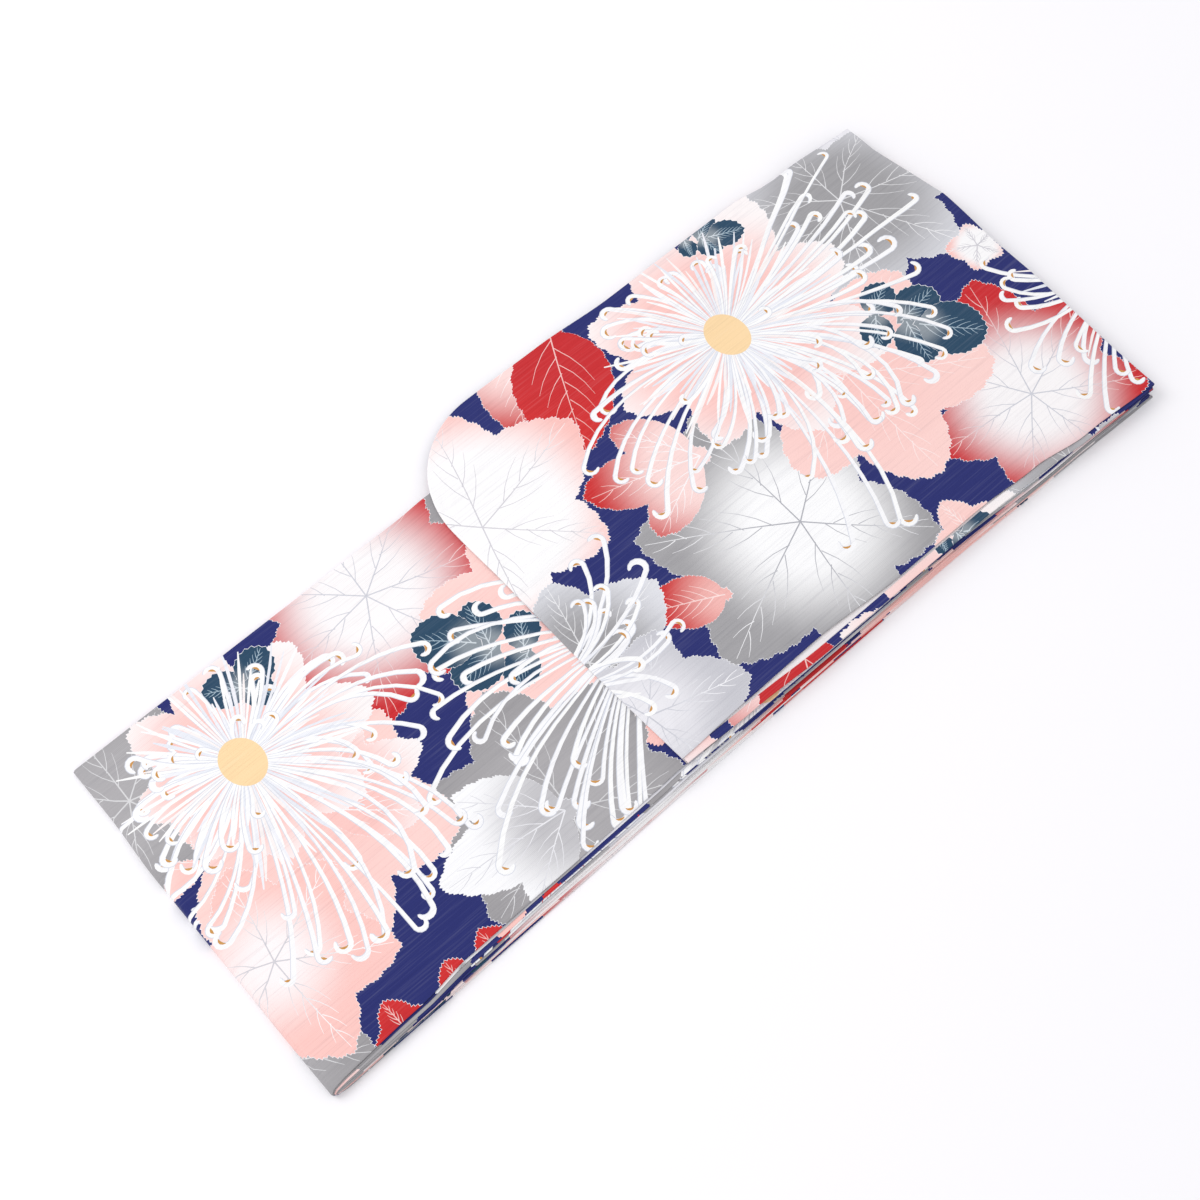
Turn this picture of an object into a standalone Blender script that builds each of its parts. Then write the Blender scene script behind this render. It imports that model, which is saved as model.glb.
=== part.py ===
"""A woman's cotton yukata robe, folded flat for storage and lying on a table.

The robe is folded as it is put away: the left half over the right along the centre-back
seam, one sleeve laid back on each face, and the hem half turned under the shoulder half.
Package coordinates, in metres: X runs from that turn to the shoulder line, Y from the
side seams, whose layers step back one from another, to the centre-back seam, Z up from
the table. Each panel is a wall of cloth, and the layers that never show share one solid.
"""

import math
from collections import namedtuple

import bmesh
import bpy

# The cut of the robe
ROBE_LENGTH = 1.656
FOLDED_LENGTH = ROBE_LENGTH / 2
BACK_WIDTH = 0.3075
SLEEVE_REACH = 0.352
SLEEVE_CORNER_RADIUS = 0.082
ARMHOLE = 0.230

# The cloth and how it packs
WALL = 0.0011
GAP = 0.0003
FRONTS_PACKED = 0.0026
SIDE_SEAM_FULLNESS = 0.85
SIDE_SEAM_SOFTNESS = 0.050
FRONTS_THIN_FROM = 0.205
FRONTS_THIN_TO = 0.265
LIP_GROOVE = 0.0020
LIP_ROUND = 0.0003

# The turn at mid length, which leans a little across the package
TURN_X = 0.0025
TURN_LEAN = 0.0167
TURN_ANGLES = (-90, -67.5, -45, -22.5, 0, 22.5, 45, 67.5, 90)

# The right sleeve lies between the two halves and lifts the upper one
LIFT = 2 * WALL + 2 * GAP
LIFT_FROM = 0.310
LIFT_TO = 0.334
RIGHT_SLEEVE_INSET = 0.004
OVERHANG_FROM = 0.3045
LEFT_SLEEVE_DROOP = 0.0036
LEFT_DROOP_TO = 0.348
RIGHT_DROOP_TO = 0.336
RIGHT_SLEEVE_REST = 0.0002

# The collar lies between the left and right backs at the neck
COLLAR_DEPTH = 0.062
COLLAR_FROM = 0.223
COLLAR_TO = 0.300
COLLAR_PEEK = 0.0010
COLLAR_RISE = 0.030
NECK_EDGE = 0.216
COLLAR_FULLNESS = (2 * WALL + 2 * GAP) / FRONTS_PACKED

# Rows of faces across the package and columns along it, shared so that the layers nest
ROWS = (0.034, 0.050, 0.090, 0.145, 0.205, 0.217, 0.229, 0.241, 0.253, 0.265, 0.285, 0.300)
OVERHANG_ROWS = (0.3075, 0.314, 0.322, 0.330, 0.337, 0.343, 0.348, 0.351)
COLUMNS = (0.020, 0.050, 0.080, 0.120, 0.160, 0.200, 0.250, 0.310, 0.318, 0.326, 0.334,
           0.400, 0.480, 0.600, 0.700, 0.736, 0.751, 0.766, 0.800)
SLEEVE_COLUMNS = (0.0, 0.1, 0.28, 0.5, 0.75, 1.0)
SHOULDER_COLUMNS = (0.660, 0.700, 0.736, 0.751, 0.766, 0.800)
SLEEVE_ROUND_ANGLES = (-90, -30, 30, 90)

# How far each layer's side-seam edge stands in from the package's near side
Edges = namedtuple("Edges", "x left_back front_outer front_middle front_inner right_back")
UPPER_EDGES = (
    Edges(0.000, 0.0030, 0.0018, 0.0004, -0.0004, -0.0010),
    Edges(0.080, 0.0064, 0.0046, 0.0022, 0.0006, -0.0002),
    Edges(0.130, 0.0108, 0.0090, 0.0056, 0.0044, 0.0030),
    Edges(0.200, 0.0120, 0.0104, 0.0076, 0.0066, 0.0050),
    Edges(0.340, 0.0140, 0.0122, 0.0088, 0.0078, 0.0062),
    Edges(0.600, 0.0115, 0.0098, 0.0080, 0.0072, 0.0058),
    Edges(0.720, 0.0060, 0.0046, 0.0030, 0.0034, 0.0020),
    Edges(0.828, 0.0010, -0.0004, -0.0010, 0.0000, -0.0008),
)
LOWER_EDGES = (
    Edges(0.000, -0.0022, -0.0016, -0.0020, -0.0012, -0.0016),
    Edges(0.080, -0.0012, -0.0006, -0.0010, 0.0002, -0.0002),
    Edges(0.200, -0.0002, 0.0008, 0.0018, 0.0030, 0.0036),
    Edges(0.340, 0.0018, 0.0026, 0.0032, 0.0040, 0.0048),
    Edges(0.600, 0.0020, 0.0028, 0.0034, 0.0040, 0.0046),
    Edges(0.720, -0.0006, 0.0002, 0.0008, 0.0014, 0.0018),
    Edges(0.828, -0.0034, -0.0026, -0.0020, -0.0022, -0.0014),
)

# The open inner edge of each sleeve, where its upper and under plies reach
Ply = namedtuple("Ply", "x upper under")
LEFT_SLEEVE_EDGE = (
    Ply(0.338, 0.0178, 0.0130),
    Ply(0.400, 0.0196, 0.0112),
    Ply(0.476, 0.0206, 0.0082),
    Ply(0.560, 0.0160, 0.0080),
    Ply(0.640, 0.0155, 0.0076),
    Ply(0.700, 0.0120, 0.0054),
    Ply(0.750, 0.0055, 0.0014),
    Ply(0.828, 0.0010, -0.0006),
)
RIGHT_SLEEVE_EDGE = (
    Ply(0.338, 0.0125, 0.0100),
    Ply(0.598, 0.0090, 0.0105),
    Ply(0.828, 0.0030, 0.0040),
)
# The wrist edge, whose stretch past the seam stands open
Wrist = namedtuple("Wrist", "x y")
WRIST = (
    Wrist(0.430, 0.3520), Wrist(0.490, 0.3512), Wrist(0.563, 0.3472), Wrist(0.696, 0.3468),
    Wrist(0.740, 0.3412), Wrist(0.828, 0.3358),
)

# The bottom edge of a sleeve and the shoulder line, seen from above
Line = namedtuple("Line", "y x")
SLEEVE_BOTTOM = (Line(0.008, 0.3385), Line(0.070, 0.3358), Line(0.130, 0.3338),
                 Line(0.262, 0.3340))
SHOULDER = (
    Line(0.000, 0.8245), Line(0.045, 0.8245), Line(0.090, 0.8262), Line(0.137, 0.8280),
    Line(0.180, 0.8274), Line(0.235, 0.8305), Line(0.262, 0.8268), Line(0.306, 0.8190),
    Line(0.336, 0.8195),
)
# How far each layer stops short of the shoulder line
UPPER_SHORT = {"left_back": 0.0, "fronts": 0.0016, "right_back": 0.0008}
LOWER_SHORT = {"left_back": 0.0010, "fronts": 0.0030, "right_back": 0.0040}

# The package's outer sizes, which put the origin below its middle
PACKAGE_X = (TURN_X - GAP * 1.5 - WALL * 2 - FRONTS_PACKED * SIDE_SEAM_FULLNESS,
             max(line.x for line in SHOULDER) + COLLAR_PEEK)
PACKAGE_Y = (min(row.left_back for row in LOWER_EDGES), SLEEVE_REACH + WALL / 2)

Finish = namedtuple("Finish", "colour roughness")
FINISHES = {
    "left_sleeve": Finish((0.42, 0.38, 0.45, 1.0), 0.88),
    "right_sleeve": Finish((0.05, 0.07, 0.22, 1.0), 0.88),
    "left_back": Finish((0.03, 0.05, 0.24, 1.0), 0.88),
    "right_back": Finish((0.62, 0.12, 0.10, 1.0), 0.88),
    "folded_fronts": Finish((0.85, 0.55, 0.52, 1.0), 0.90),
    "collar": Finish((0.09, 0.15, 0.22, 1.0), 0.88),
}

Stop = namedtuple("Stop", "upper x angle short")


def smooth(value, start, end):
    """0 before start, 1 after end, and an even ease between the two."""
    t = min(max((value - start) / (end - start), 0.0), 1.0)
    return t * t * (3.0 - 2.0 * t)


def read(rows, key, place, column):
    """A table's column at a place along its key, eased from row to row."""
    for low, high in zip(rows, rows[1:]):
        if place <= getattr(high, key):
            t = smooth(place, getattr(low, key), getattr(high, key))
            return getattr(low, column) * (1 - t) + getattr(high, column) * t
    return getattr(rows[-1], column)


def read_straight(rows, y):
    """X of a line seen from above, straight from row to row."""
    for low, high in zip(rows, rows[1:]):
        if y <= high.y:
            t = max((y - low.y) / (high.y - low.y), 0.0)
            return low.x + (high.x - low.x) * t
    return rows[-1].x


def fullness(x, y, upper):
    """The share of the folded fronts' thickness that lies at a point of one half."""
    near = SIDE_SEAM_FULLNESS + (1 - SIDE_SEAM_FULLNESS) * smooth(y, 0, SIDE_SEAM_SOFTNESS)
    full = near * (1 - smooth(y, FRONTS_THIN_FROM, FRONTS_THIN_TO))
    if not upper:
        return full
    neck = FOLDED_LENGTH - COLLAR_DEPTH
    return max(full, COLLAR_FULLNESS * smooth(x, neck - COLLAR_RISE, neck))


def fronts_inner():
    """How far the fronts' inner face lies from the mid-plane of the turn."""
    return 1.5 * GAP + WALL


def left_back_inner(x, y, upper):
    """How far the left back's inner face lies from the mid-plane of the turn."""
    return fronts_inner() + FRONTS_PACKED * fullness(x, y, upper)


def mid_height(y):
    """The height of the mid-plane, which puts the left back's lower half on the table."""
    return left_back_inner(0.0, y, False) + WALL


def lift(x):
    """How far the right sleeve raises the upper half."""
    return LIFT * smooth(x, LIFT_FROM, LIFT_TO)


def turn_x(y):
    """X of the axis that the halves turn about."""
    return TURN_X + TURN_LEAN * y


def hairpin_stops(node):
    """The stops of a panel, from the hem end of the lower half round to the shoulder."""
    lower = [Stop(False, x, None, 0.0) for x in reversed(COLUMNS)]
    upper = [Stop(True, x, None, 0.0) for x in COLUMNS]
    turn = [Stop(angle > 0, 0.0, angle, 0.0) for angle in TURN_ANGLES]
    hem = Stop(False, None, None, LOWER_SHORT[node])
    shoulder = Stop(True, None, None, UPPER_SHORT[node])
    return [hem, *lower, *turn, *upper, shoulder]


def stop_x(stop, y):
    """X of a stop on a half, which at the end follows the shoulder line."""
    return read_straight(SHOULDER, y) - stop.short if stop.x is None else stop.x


def side_edge(stop, column):
    """Y of a layer's side-seam edge at a stop."""
    x = FOLDED_LENGTH if stop.x is None else stop.x
    upper = read(UPPER_EDGES, "x", x, column)
    lower = read(LOWER_EDGES, "x", x, column)
    if stop.angle is None:
        return upper if stop.upper else lower
    share = (1 + math.sin(math.radians(stop.angle))) / 2
    return lower + (upper - lower) * share


def on_hairpin(stop, y, offset):
    """The point of a panel at a stop, this far out from the mid-plane."""
    if stop.angle is not None:
        angle = math.radians(stop.angle)
        out = offset(0.0, y, stop.upper)
        return (turn_x(y) - out * math.cos(angle), y, mid_height(y) + out * math.sin(angle))
    x = stop_x(stop, y)
    out = offset(x, y, stop.upper)
    if stop.upper:
        return (x, y, mid_height(y) + lift(x) + out)
    return (x, y, mid_height(y) - out)


def new_object(name, mesh):
    """An object of this mesh in the robe's collection, under its origin, with its finish."""
    finish = FINISHES[name]
    material = bpy.data.materials.new(f"{name}_cotton")
    material.use_nodes = True
    shader = material.node_tree.nodes["Principled BSDF"]
    shader.inputs["Base Color"].default_value = finish.colour
    shader.inputs["Roughness"].default_value = finish.roughness
    shader.inputs["Metallic"].default_value = 0.0
    mesh.materials.append(material)
    mesh.shade_smooth()
    mesh.set_sharp_from_angle(angle=math.radians(35))
    made = bpy.data.objects.new(name, mesh)
    bpy.data.collections["folded_yukata"].objects.link(made)
    made.parent = bpy.data.objects["package_corner"]
    return made


def mesh_from(name, build):
    """A mesh that build fills in bmesh, with its faces turned the same way, outwards."""
    shape = bmesh.new()
    build(shape)
    bmesh.ops.recalc_face_normals(shape, faces=shape.faces)
    if shape.calc_volume(signed=True) < 0:
        bmesh.ops.reverse_faces(shape, faces=shape.faces)
    mesh = bpy.data.meshes.new(name)
    shape.to_mesh(mesh)
    shape.free()
    return mesh


def bridge(shape, lines, closed=False):
    """Faces between each line of vertices and the next one."""
    for first, second in zip(lines, lines[1:]):
        count = len(first)
        for i in range(count if closed else count - 1):
            j = (i + 1) % count
            shape.faces.new((first[i], first[j], second[j], second[i]))


def wall(made):
    """Gives an open surface the thickness of the cloth, evenly on both sides."""
    solidify = made.modifiers.new("cloth", "SOLIDIFY")
    solidify.thickness = WALL
    solidify.offset = 0.0
    solidify.use_even_offset = True


def make_back(name, far_edge, offset):
    """A back panel: one wall that runs along both halves and round the turn."""

    def build(shape):
        lines = []
        for stop in hairpin_stops(name):
            ys = [side_edge(stop, name), *ROWS, far_edge]
            lines.append([shape.verts.new(on_hairpin(stop, y, offset)) for y in ys])
        bridge(shape, lines)

    wall(new_object(name, mesh_from(name, build)))


def front_section(stop):
    """The outline of the folded fronts at a stop, as (y, share of the thickness)."""
    edges = [side_edge(stop, c) for c in ("front_inner", "front_middle", "front_outer")]
    outline = []
    for i, edge in enumerate(edges):
        low, high = i / len(edges), (i + 1) / len(edges)
        groove = max(edges[max(i - 1, 0)], edge) + LIP_GROOVE
        soft = (high - low) / 4
        outline.append((groove, low))
        outline.append((edge + LIP_ROUND, low + soft))
        outline.append((edge, (low + high) / 2))
        outline.append((edge + LIP_ROUND, high - soft))
    outline.append((edges[-1] + LIP_GROOVE, 1.0))
    far = [y for y in ROWS if y <= FRONTS_THIN_TO - 0.012]
    if stop.upper and (stop.x is None or stop.x >= FOLDED_LENGTH - COLLAR_DEPTH):
        far = [min(y, NECK_EDGE - 0.0015 * (len(far) - i)) for i, y in enumerate(far)]
    outline += [(y, 1.0) for y in far]
    outline.append((far[-1] + LIP_GROOVE, 0.5))
    outline += [(y, 0.0) for y in reversed(far)]
    return outline


def make_fronts():
    """The fronts and their front bands, folded inside: one solid with stepped layers."""

    def build(shape):
        lines = []
        for stop in hairpin_stops("fronts"):
            line = []
            for y, share in front_section(stop):

                def offset(x, at_y, upper, share=share):
                    outer = left_back_inner(x, at_y, upper) - GAP
                    return fronts_inner() + (outer - fronts_inner()) * share

                line.append(shape.verts.new(on_hairpin(stop, y, offset)))
            lines.append(line)
        bridge(shape, lines, closed=True)
        shape.faces.new(lines[0])
        shape.faces.new(lines[-1])

    new_object("folded_fronts", mesh_from("folded_fronts", build))


def sleeve_row(y, reach):
    """X of a sleeve's bottom edge on a row, round its outer corner."""
    centre = reach - SLEEVE_CORNER_RADIUS
    if y <= centre:
        return read_straight(SLEEVE_BOTTOM, y)
    rise = min(y - centre, SLEEVE_CORNER_RADIUS)
    return (SLEEVE_BOTTOM[-1].x + SLEEVE_CORNER_RADIUS
            - math.sqrt(SLEEVE_CORNER_RADIUS ** 2 - rise ** 2))


def make_sleeve(name, inset, edge_rows, base):
    """A sleeve: a flat tube, open at the body and the wrist and sewn shut elsewhere."""
    radius = (WALL + GAP) / 2
    reach = SLEEVE_REACH - inset
    armhole_x = FOLDED_LENGTH - ARMHOLE
    rows = [None, *ROWS, *OVERHANG_ROWS, SLEEVE_REACH]

    def plan_y(row, x, ply):
        """Y of a point on a row, which fans out to the edges of the sleeve."""
        if row is None:
            return read(edge_rows, "x", x, ply)
        if row <= OVERHANG_ROWS[0]:
            return row
        share = (row - OVERHANG_ROWS[0]) / (SLEEVE_REACH - OVERHANG_ROWS[0])
        wrist = read(WRIST, "x", x, "y") - inset - radius
        return OVERHANG_ROWS[0] + (wrist - OVERHANG_ROWS[0]) * share

    def ring(row):
        """One row round the tube: its under ply, the shoulder, and its upper ply."""
        y_here = read(edge_rows, "x", 0.0, "upper") if row is None else row - inset
        left = sleeve_row(y_here, reach) + inset / 2 + radius
        xs = [left + (armhole_x - left) * share for share in SLEEVE_COLUMNS]
        xs += SHOULDER_COLUMNS
        points = []
        right = read_straight(SHOULDER, y_here) - inset / 2 - radius
        for x in xs:
            y = plan_y(row, x, "under")
            points.append((x, y, base(x, y) + WALL / 2))
        for angle in SLEEVE_ROUND_ANGLES:
            turn = math.radians(angle)
            y = plan_y(row, right, "under" if angle < 0 else "upper")
            points.append((right + radius * math.cos(turn), y,
                           base(right, y) + WALL / 2 + radius * (1 + math.sin(turn))))
        for x in reversed(xs):
            y = plan_y(row, x, "upper")
            points.append((x, y, base(x, y) + WALL / 2 + 2 * radius))
        for angle in SLEEVE_ROUND_ANGLES[2:0:-1]:
            turn = math.radians(angle)
            y = plan_y(row, left, "under" if angle < 0 else "upper")
            points.append((left - radius * math.cos(turn), y,
                           base(left, y) + WALL / 2 + radius * (1 + math.sin(turn))))
        return points, len(xs)

    def build(shape):
        lines = []
        for row in rows:
            points, columns = ring(row)
            lines.append([shape.verts.new(point) for point in points])
        bridge(shape, lines, closed=True)
        last = lines[-1]
        under = last[:len(SLEEVE_COLUMNS)]
        upper_first = columns + len(SLEEVE_ROUND_ANGLES)
        upper = last[upper_first:upper_first + columns][::-1][:len(SLEEVE_COLUMNS)]
        seam = []
        for low, high in zip(under, upper):
            middle = (low.co + high.co) / 2
            seam.append(shape.verts.new((middle.x, middle.y + radius, middle.z)))
        bridge(shape, [under, seam, upper])
        corner = [upper[0], *last[upper_first + columns:], under[0]]
        for high, low in zip(corner, corner[1:]):
            shape.faces.new((seam[0], high, low))

    wall(new_object(name, mesh_from(name, build)))


def left_sleeve_base(x, y):
    """The under face of the left sleeve: on the left back, then drooping past it."""
    on_body = min(y, OVERHANG_FROM)
    body = mid_height(on_body) + lift(x) + left_back_inner(x, on_body, True) + WALL
    return body + GAP - LEFT_SLEEVE_DROOP * smooth(y, OVERHANG_FROM, LEFT_DROOP_TO)


def right_sleeve_base(x, y):
    """The under face of the right sleeve: on the right back, then down to the table."""
    lower = mid_height(min(y, OVERHANG_FROM)) + GAP / 2
    drooped = smooth(y, BACK_WIDTH, RIGHT_DROOP_TO)
    return lower + (RIGHT_SLEEVE_REST - lower) * drooped


def make_collar():
    """The collar: a band folded in two along its outer edge, lying flat at the neck."""
    radius = (WALL + GAP) / 2

    def base(x, y):
        return mid_height(y) + lift(x) + fronts_inner() + WALL / 2

    def build(shape):
        ys = [COLLAR_FROM, *[y for y in ROWS if COLLAR_FROM < y < COLLAR_TO], COLLAR_TO]
        lines = []
        for y in ys:
            right = read_straight(SHOULDER, y) + COLLAR_PEEK - radius - WALL / 2
            xs = (FOLDED_LENGTH - COLLAR_DEPTH + 0.001, 0.800, right)
            line = [(x, y, base(x, y)) for x in xs]
            for angle in SLEEVE_ROUND_ANGLES[1:-1]:
                turn = math.radians(angle)
                line.append((right + radius * math.cos(turn), y,
                             base(right, y) + radius * (1 + math.sin(turn))))
            line += [(x, y, base(x, y) + 2 * radius) for x in reversed(xs)]
            lines.append([shape.verts.new(point) for point in line])
        bridge(shape, lines)

    wall(new_object("collar", mesh_from("collar", build)))


def clear_scene():
    """Removes whatever the scene holds."""
    for old in list(bpy.data.objects):
        bpy.data.objects.remove(old, do_unlink=True)


def main():
    """Builds the folded robe, panel by panel."""
    clear_scene()
    robe = bpy.data.collections.new("folded_yukata")
    bpy.context.scene.collection.children.link(robe)
    corner = bpy.data.objects.new("package_corner", None)
    corner.location = (-sum(PACKAGE_X) / 2, -sum(PACKAGE_Y) / 2, 0.0)
    robe.objects.link(corner)

    def right_back_offset(x, y, upper):
        return (GAP + WALL) / 2

    def left_back_offset(x, y, upper):
        return left_back_inner(x, y, upper) + WALL / 2

    make_back("left_back", BACK_WIDTH, left_back_offset)
    make_back("right_back", BACK_WIDTH - 2 * GAP, right_back_offset)
    make_fronts()
    make_sleeve("right_sleeve", RIGHT_SLEEVE_INSET, RIGHT_SLEEVE_EDGE, right_sleeve_base)
    make_sleeve("left_sleeve", 0.0, LEFT_SLEEVE_EDGE, left_sleeve_base)
    make_collar()


main()
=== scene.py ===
"""The looks of a cotton yukata robe, folded flat for storage and lying on a white table.

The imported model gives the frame; every cloth piece here is a thin shell on the form of its
solid. Sizes are in millimetres in the package's own coordinates: X runs along the package
from the turn at mid length to the shoulder line, Y from the side-seam edges to the
centre-back seam, Z up from the table. The print is drawn shape by shape into the meshes:
each flower and leaf is worked out from a few sizes, and its outline becomes mesh edges.
"""

import logging
import math
import random
from dataclasses import dataclass, field, replace
from enum import Enum
from typing import Callable, NamedTuple, Sequence

import bpy
import numpy as np
from mathutils import Matrix, Vector
from mathutils.geometry import delaunay_2d_cdt
from mathutils.kdtree import KDTree


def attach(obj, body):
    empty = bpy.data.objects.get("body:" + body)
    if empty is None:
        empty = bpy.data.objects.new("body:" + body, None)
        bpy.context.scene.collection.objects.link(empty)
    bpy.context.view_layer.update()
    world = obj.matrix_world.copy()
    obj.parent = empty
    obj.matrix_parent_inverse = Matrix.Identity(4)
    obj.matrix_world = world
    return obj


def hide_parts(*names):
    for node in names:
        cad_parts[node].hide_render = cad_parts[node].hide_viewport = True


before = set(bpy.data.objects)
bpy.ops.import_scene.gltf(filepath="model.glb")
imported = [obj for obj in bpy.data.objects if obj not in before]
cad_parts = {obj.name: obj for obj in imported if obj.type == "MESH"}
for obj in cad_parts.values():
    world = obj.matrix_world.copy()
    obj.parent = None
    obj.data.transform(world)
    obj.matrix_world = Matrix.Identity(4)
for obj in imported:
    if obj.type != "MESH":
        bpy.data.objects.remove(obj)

LOG = logging.getLogger("yukata")
MM = 0.001
CORNER_X = 414.57
CORNER_Y = 174.575

Array = np.ndarray


def smooth(value: Array, start: float | Array, end: float | Array) -> Array:
    """An even ease from 0 to 1.

    Args:
        value: where to read it.
        start: below this it is 0.
        end: above this it is 1.

    Returns:
        The share at each value.
    """
    t = np.clip((value - start) / (end - start), 0.0, 1.0)
    return t * t * (3.0 - 2.0 * t)


def eased(rows: Sequence[NamedTuple], place: Array, column: str) -> Array:
    """A table's column, eased from row to row along its first column.

    Args:
        rows: the table, in order of its first column.
        place: where to read it.
        column: the name of the column.

    Returns:
        The column's value at each place.
    """
    keys = np.array([row[0] for row in rows], float)
    values = np.array([getattr(row, column) for row in rows], float)
    inside = np.clip(place, keys[0], keys[-1])
    low = np.clip(np.searchsorted(keys, inside) - 1, 0, len(keys) - 2)
    share = smooth(inside, keys[low], keys[low + 1])
    return values[low] * (1 - share) + values[low + 1] * share


def linear(colour: str) -> Array:
    """Linear light values of an sRGB hex colour such as #2B327D."""
    srgb = np.array([int(colour[i:i + 2], 16) / 255 for i in (1, 3, 5)])
    return np.where(srgb <= 0.04045, srgb / 12.92, ((srgb + 0.055) / 1.055) ** 2.4)


class Edges(NamedTuple):
    """Where each layer's side-seam edge lies, across the package, at a place along it."""

    x: float
    left_back: float
    front_outer: float
    front_middle: float
    front_inner: float
    right_back: float


class Ply(NamedTuple):
    """Where a sleeve's two plies end at its open inner edge."""

    x: float
    upper: float
    under: float


class Line(NamedTuple):
    """A point of an edge seen from above."""

    y: float
    x: float


class Wrist(NamedTuple):
    """A point of the wrist edge seen from above."""

    x: float
    y: float


UPPER_EDGES = (
    Edges(0, 3.0, 1.8, 0.4, -0.4, -1.0),
    Edges(80, 6.4, 4.6, 2.2, 0.6, -0.2),
    Edges(130, 10.8, 9.0, 5.6, 4.4, 3.0),
    Edges(200, 12.0, 10.4, 7.6, 6.6, 5.0),
    Edges(340, 14.0, 12.2, 8.8, 7.8, 6.2),
    Edges(600, 11.5, 9.8, 8.0, 7.2, 5.8),
    Edges(720, 6.0, 4.6, 3.0, 3.4, 2.0),
    Edges(828, 1.0, -0.4, -1.0, 0.0, -0.8),
)
LOWER_EDGES = (
    Edges(0, -2.2, -1.6, -2.0, -1.2, -1.6),
    Edges(80, -1.2, -0.6, -1.0, 0.2, -0.2),
    Edges(200, -0.2, 0.8, 1.8, 3.0, 3.6),
    Edges(340, 1.8, 2.6, 3.2, 4.0, 4.8),
    Edges(600, 2.0, 2.8, 3.4, 4.0, 4.6),
    Edges(720, -0.6, 0.2, 0.8, 1.4, 1.8),
    Edges(828, -3.4, -2.6, -2.0, -2.2, -1.4),
)
LEFT_SLEEVE_EDGE = (
    Ply(338, 17.8, 13.0), Ply(400, 19.6, 11.2), Ply(476, 20.6, 8.2), Ply(560, 16.0, 8.0),
    Ply(640, 15.5, 7.6), Ply(700, 12.0, 5.4), Ply(750, 5.5, 1.4), Ply(828, 1.0, -0.6),
)
RIGHT_SLEEVE_EDGE = (Ply(338, 12.5, 10.0), Ply(598, 9.0, 10.5), Ply(828, 3.0, 4.0))
WRIST = (
    Wrist(430, 352.0), Wrist(490, 351.2), Wrist(563, 347.2), Wrist(696, 346.8),
    Wrist(740, 341.2), Wrist(828, 335.8),
)
SLEEVE_BOTTOM = (Line(8, 338.5), Line(70, 335.8), Line(130, 333.8), Line(262, 334.0))
SHOULDER = (
    Line(0, 824.5), Line(45, 824.5), Line(90, 826.2), Line(137, 828.0), Line(180, 827.4),
    Line(235, 830.5), Line(262, 826.8), Line(306, 819.0), Line(336, 819.5),
)


def along(rows: Sequence[Line], y: Array) -> Array:
    """X of an edge seen from above, straight from point to point."""
    return np.interp(y, [row.y for row in rows], [row.x for row in rows])


# A crease wanders from its straight line by this share of its length
CREASE_BOW = 0.04
# How far it fades past its two ends, and the shares of its length between which it is full
CREASE_FADE = (10.0, 15.0)
CREASE_FULL = (0.25, 0.6)


class Crease(NamedTuple):
    """A soft fold line of the top layers: a trough if its depth is below 0."""

    x0: float
    y0: float
    x1: float
    y1: float
    depth: float
    width: float

    def rise(self, x: Array, y: Array) -> Array:
        """How far it raises the top layer.

        Args:
            x: along the package.
            y: across it.

        Returns:
            The rise at each point: full in the line's middle stretch, and fading past its ends.
        """
        way = np.array([self.x1 - self.x0, self.y1 - self.y0])
        reach = float(np.hypot(*way))
        way = way / reach
        run = (x - self.x0) * way[0] + (y - self.y0) * way[1]
        side = (y - self.y0) * way[0] - (x - self.x0) * way[1]
        side = side + CREASE_BOW * reach * np.sin(run / reach * 3.0)
        grown = smooth(run, -CREASE_FADE[0], CREASE_FULL[0] * reach)
        fade = grown * (1 - smooth(run, CREASE_FULL[1] * reach, reach + CREASE_FADE[1]))
        return self.depth * fade * np.exp(-(side / self.width) ** 2)


class Ripple(NamedTuple):
    """A faint wave through all the layers, with its scale along and across."""

    along: float
    across: float
    phase: float


RIPPLES = (Ripple(31.0, 47.0, 0.0), Ripple(17.0, -21.0, 1.3))

CREASES = (
    Crease(22, 300, 40, 20, -0.80, 7.0),
    Crease(150, 12, 118, 120, 0.85, 9.0),
    Crease(205, 305, 232, 214, -0.70, 7.0),
    Crease(262, 120, 330, 96, -0.65, 9.0),
    Crease(64, 205, 150, 190, 0.55, 11.0),
    Crease(318, 305, 300, 238, 0.60, 6.0),
    Crease(352, 20, 372, 96, -0.85, 7.0),
    Crease(398, 336, 470, 262, 0.80, 10.0),
    Crease(455, 22, 486, 58, -0.95, 6.0),
    Crease(520, 342, 548, 268, -0.75, 8.0),
    Crease(590, 14, 612, 108, 0.85, 9.0),
    Crease(640, 338, 655, 300, -0.90, 6.0),
    Crease(668, 60, 760, 74, -0.60, 11.0),
    Crease(700, 12, 722, 40, 0.80, 6.0),
    Crease(735, 336, 718, 236, 0.75, 9.0),
    Crease(812, 268, 770, 180, -0.80, 8.0),
    Crease(800, 20, 786, 92, 0.75, 7.0),
    Crease(560, 168, 640, 150, 0.45, 13.0),
)


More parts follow.
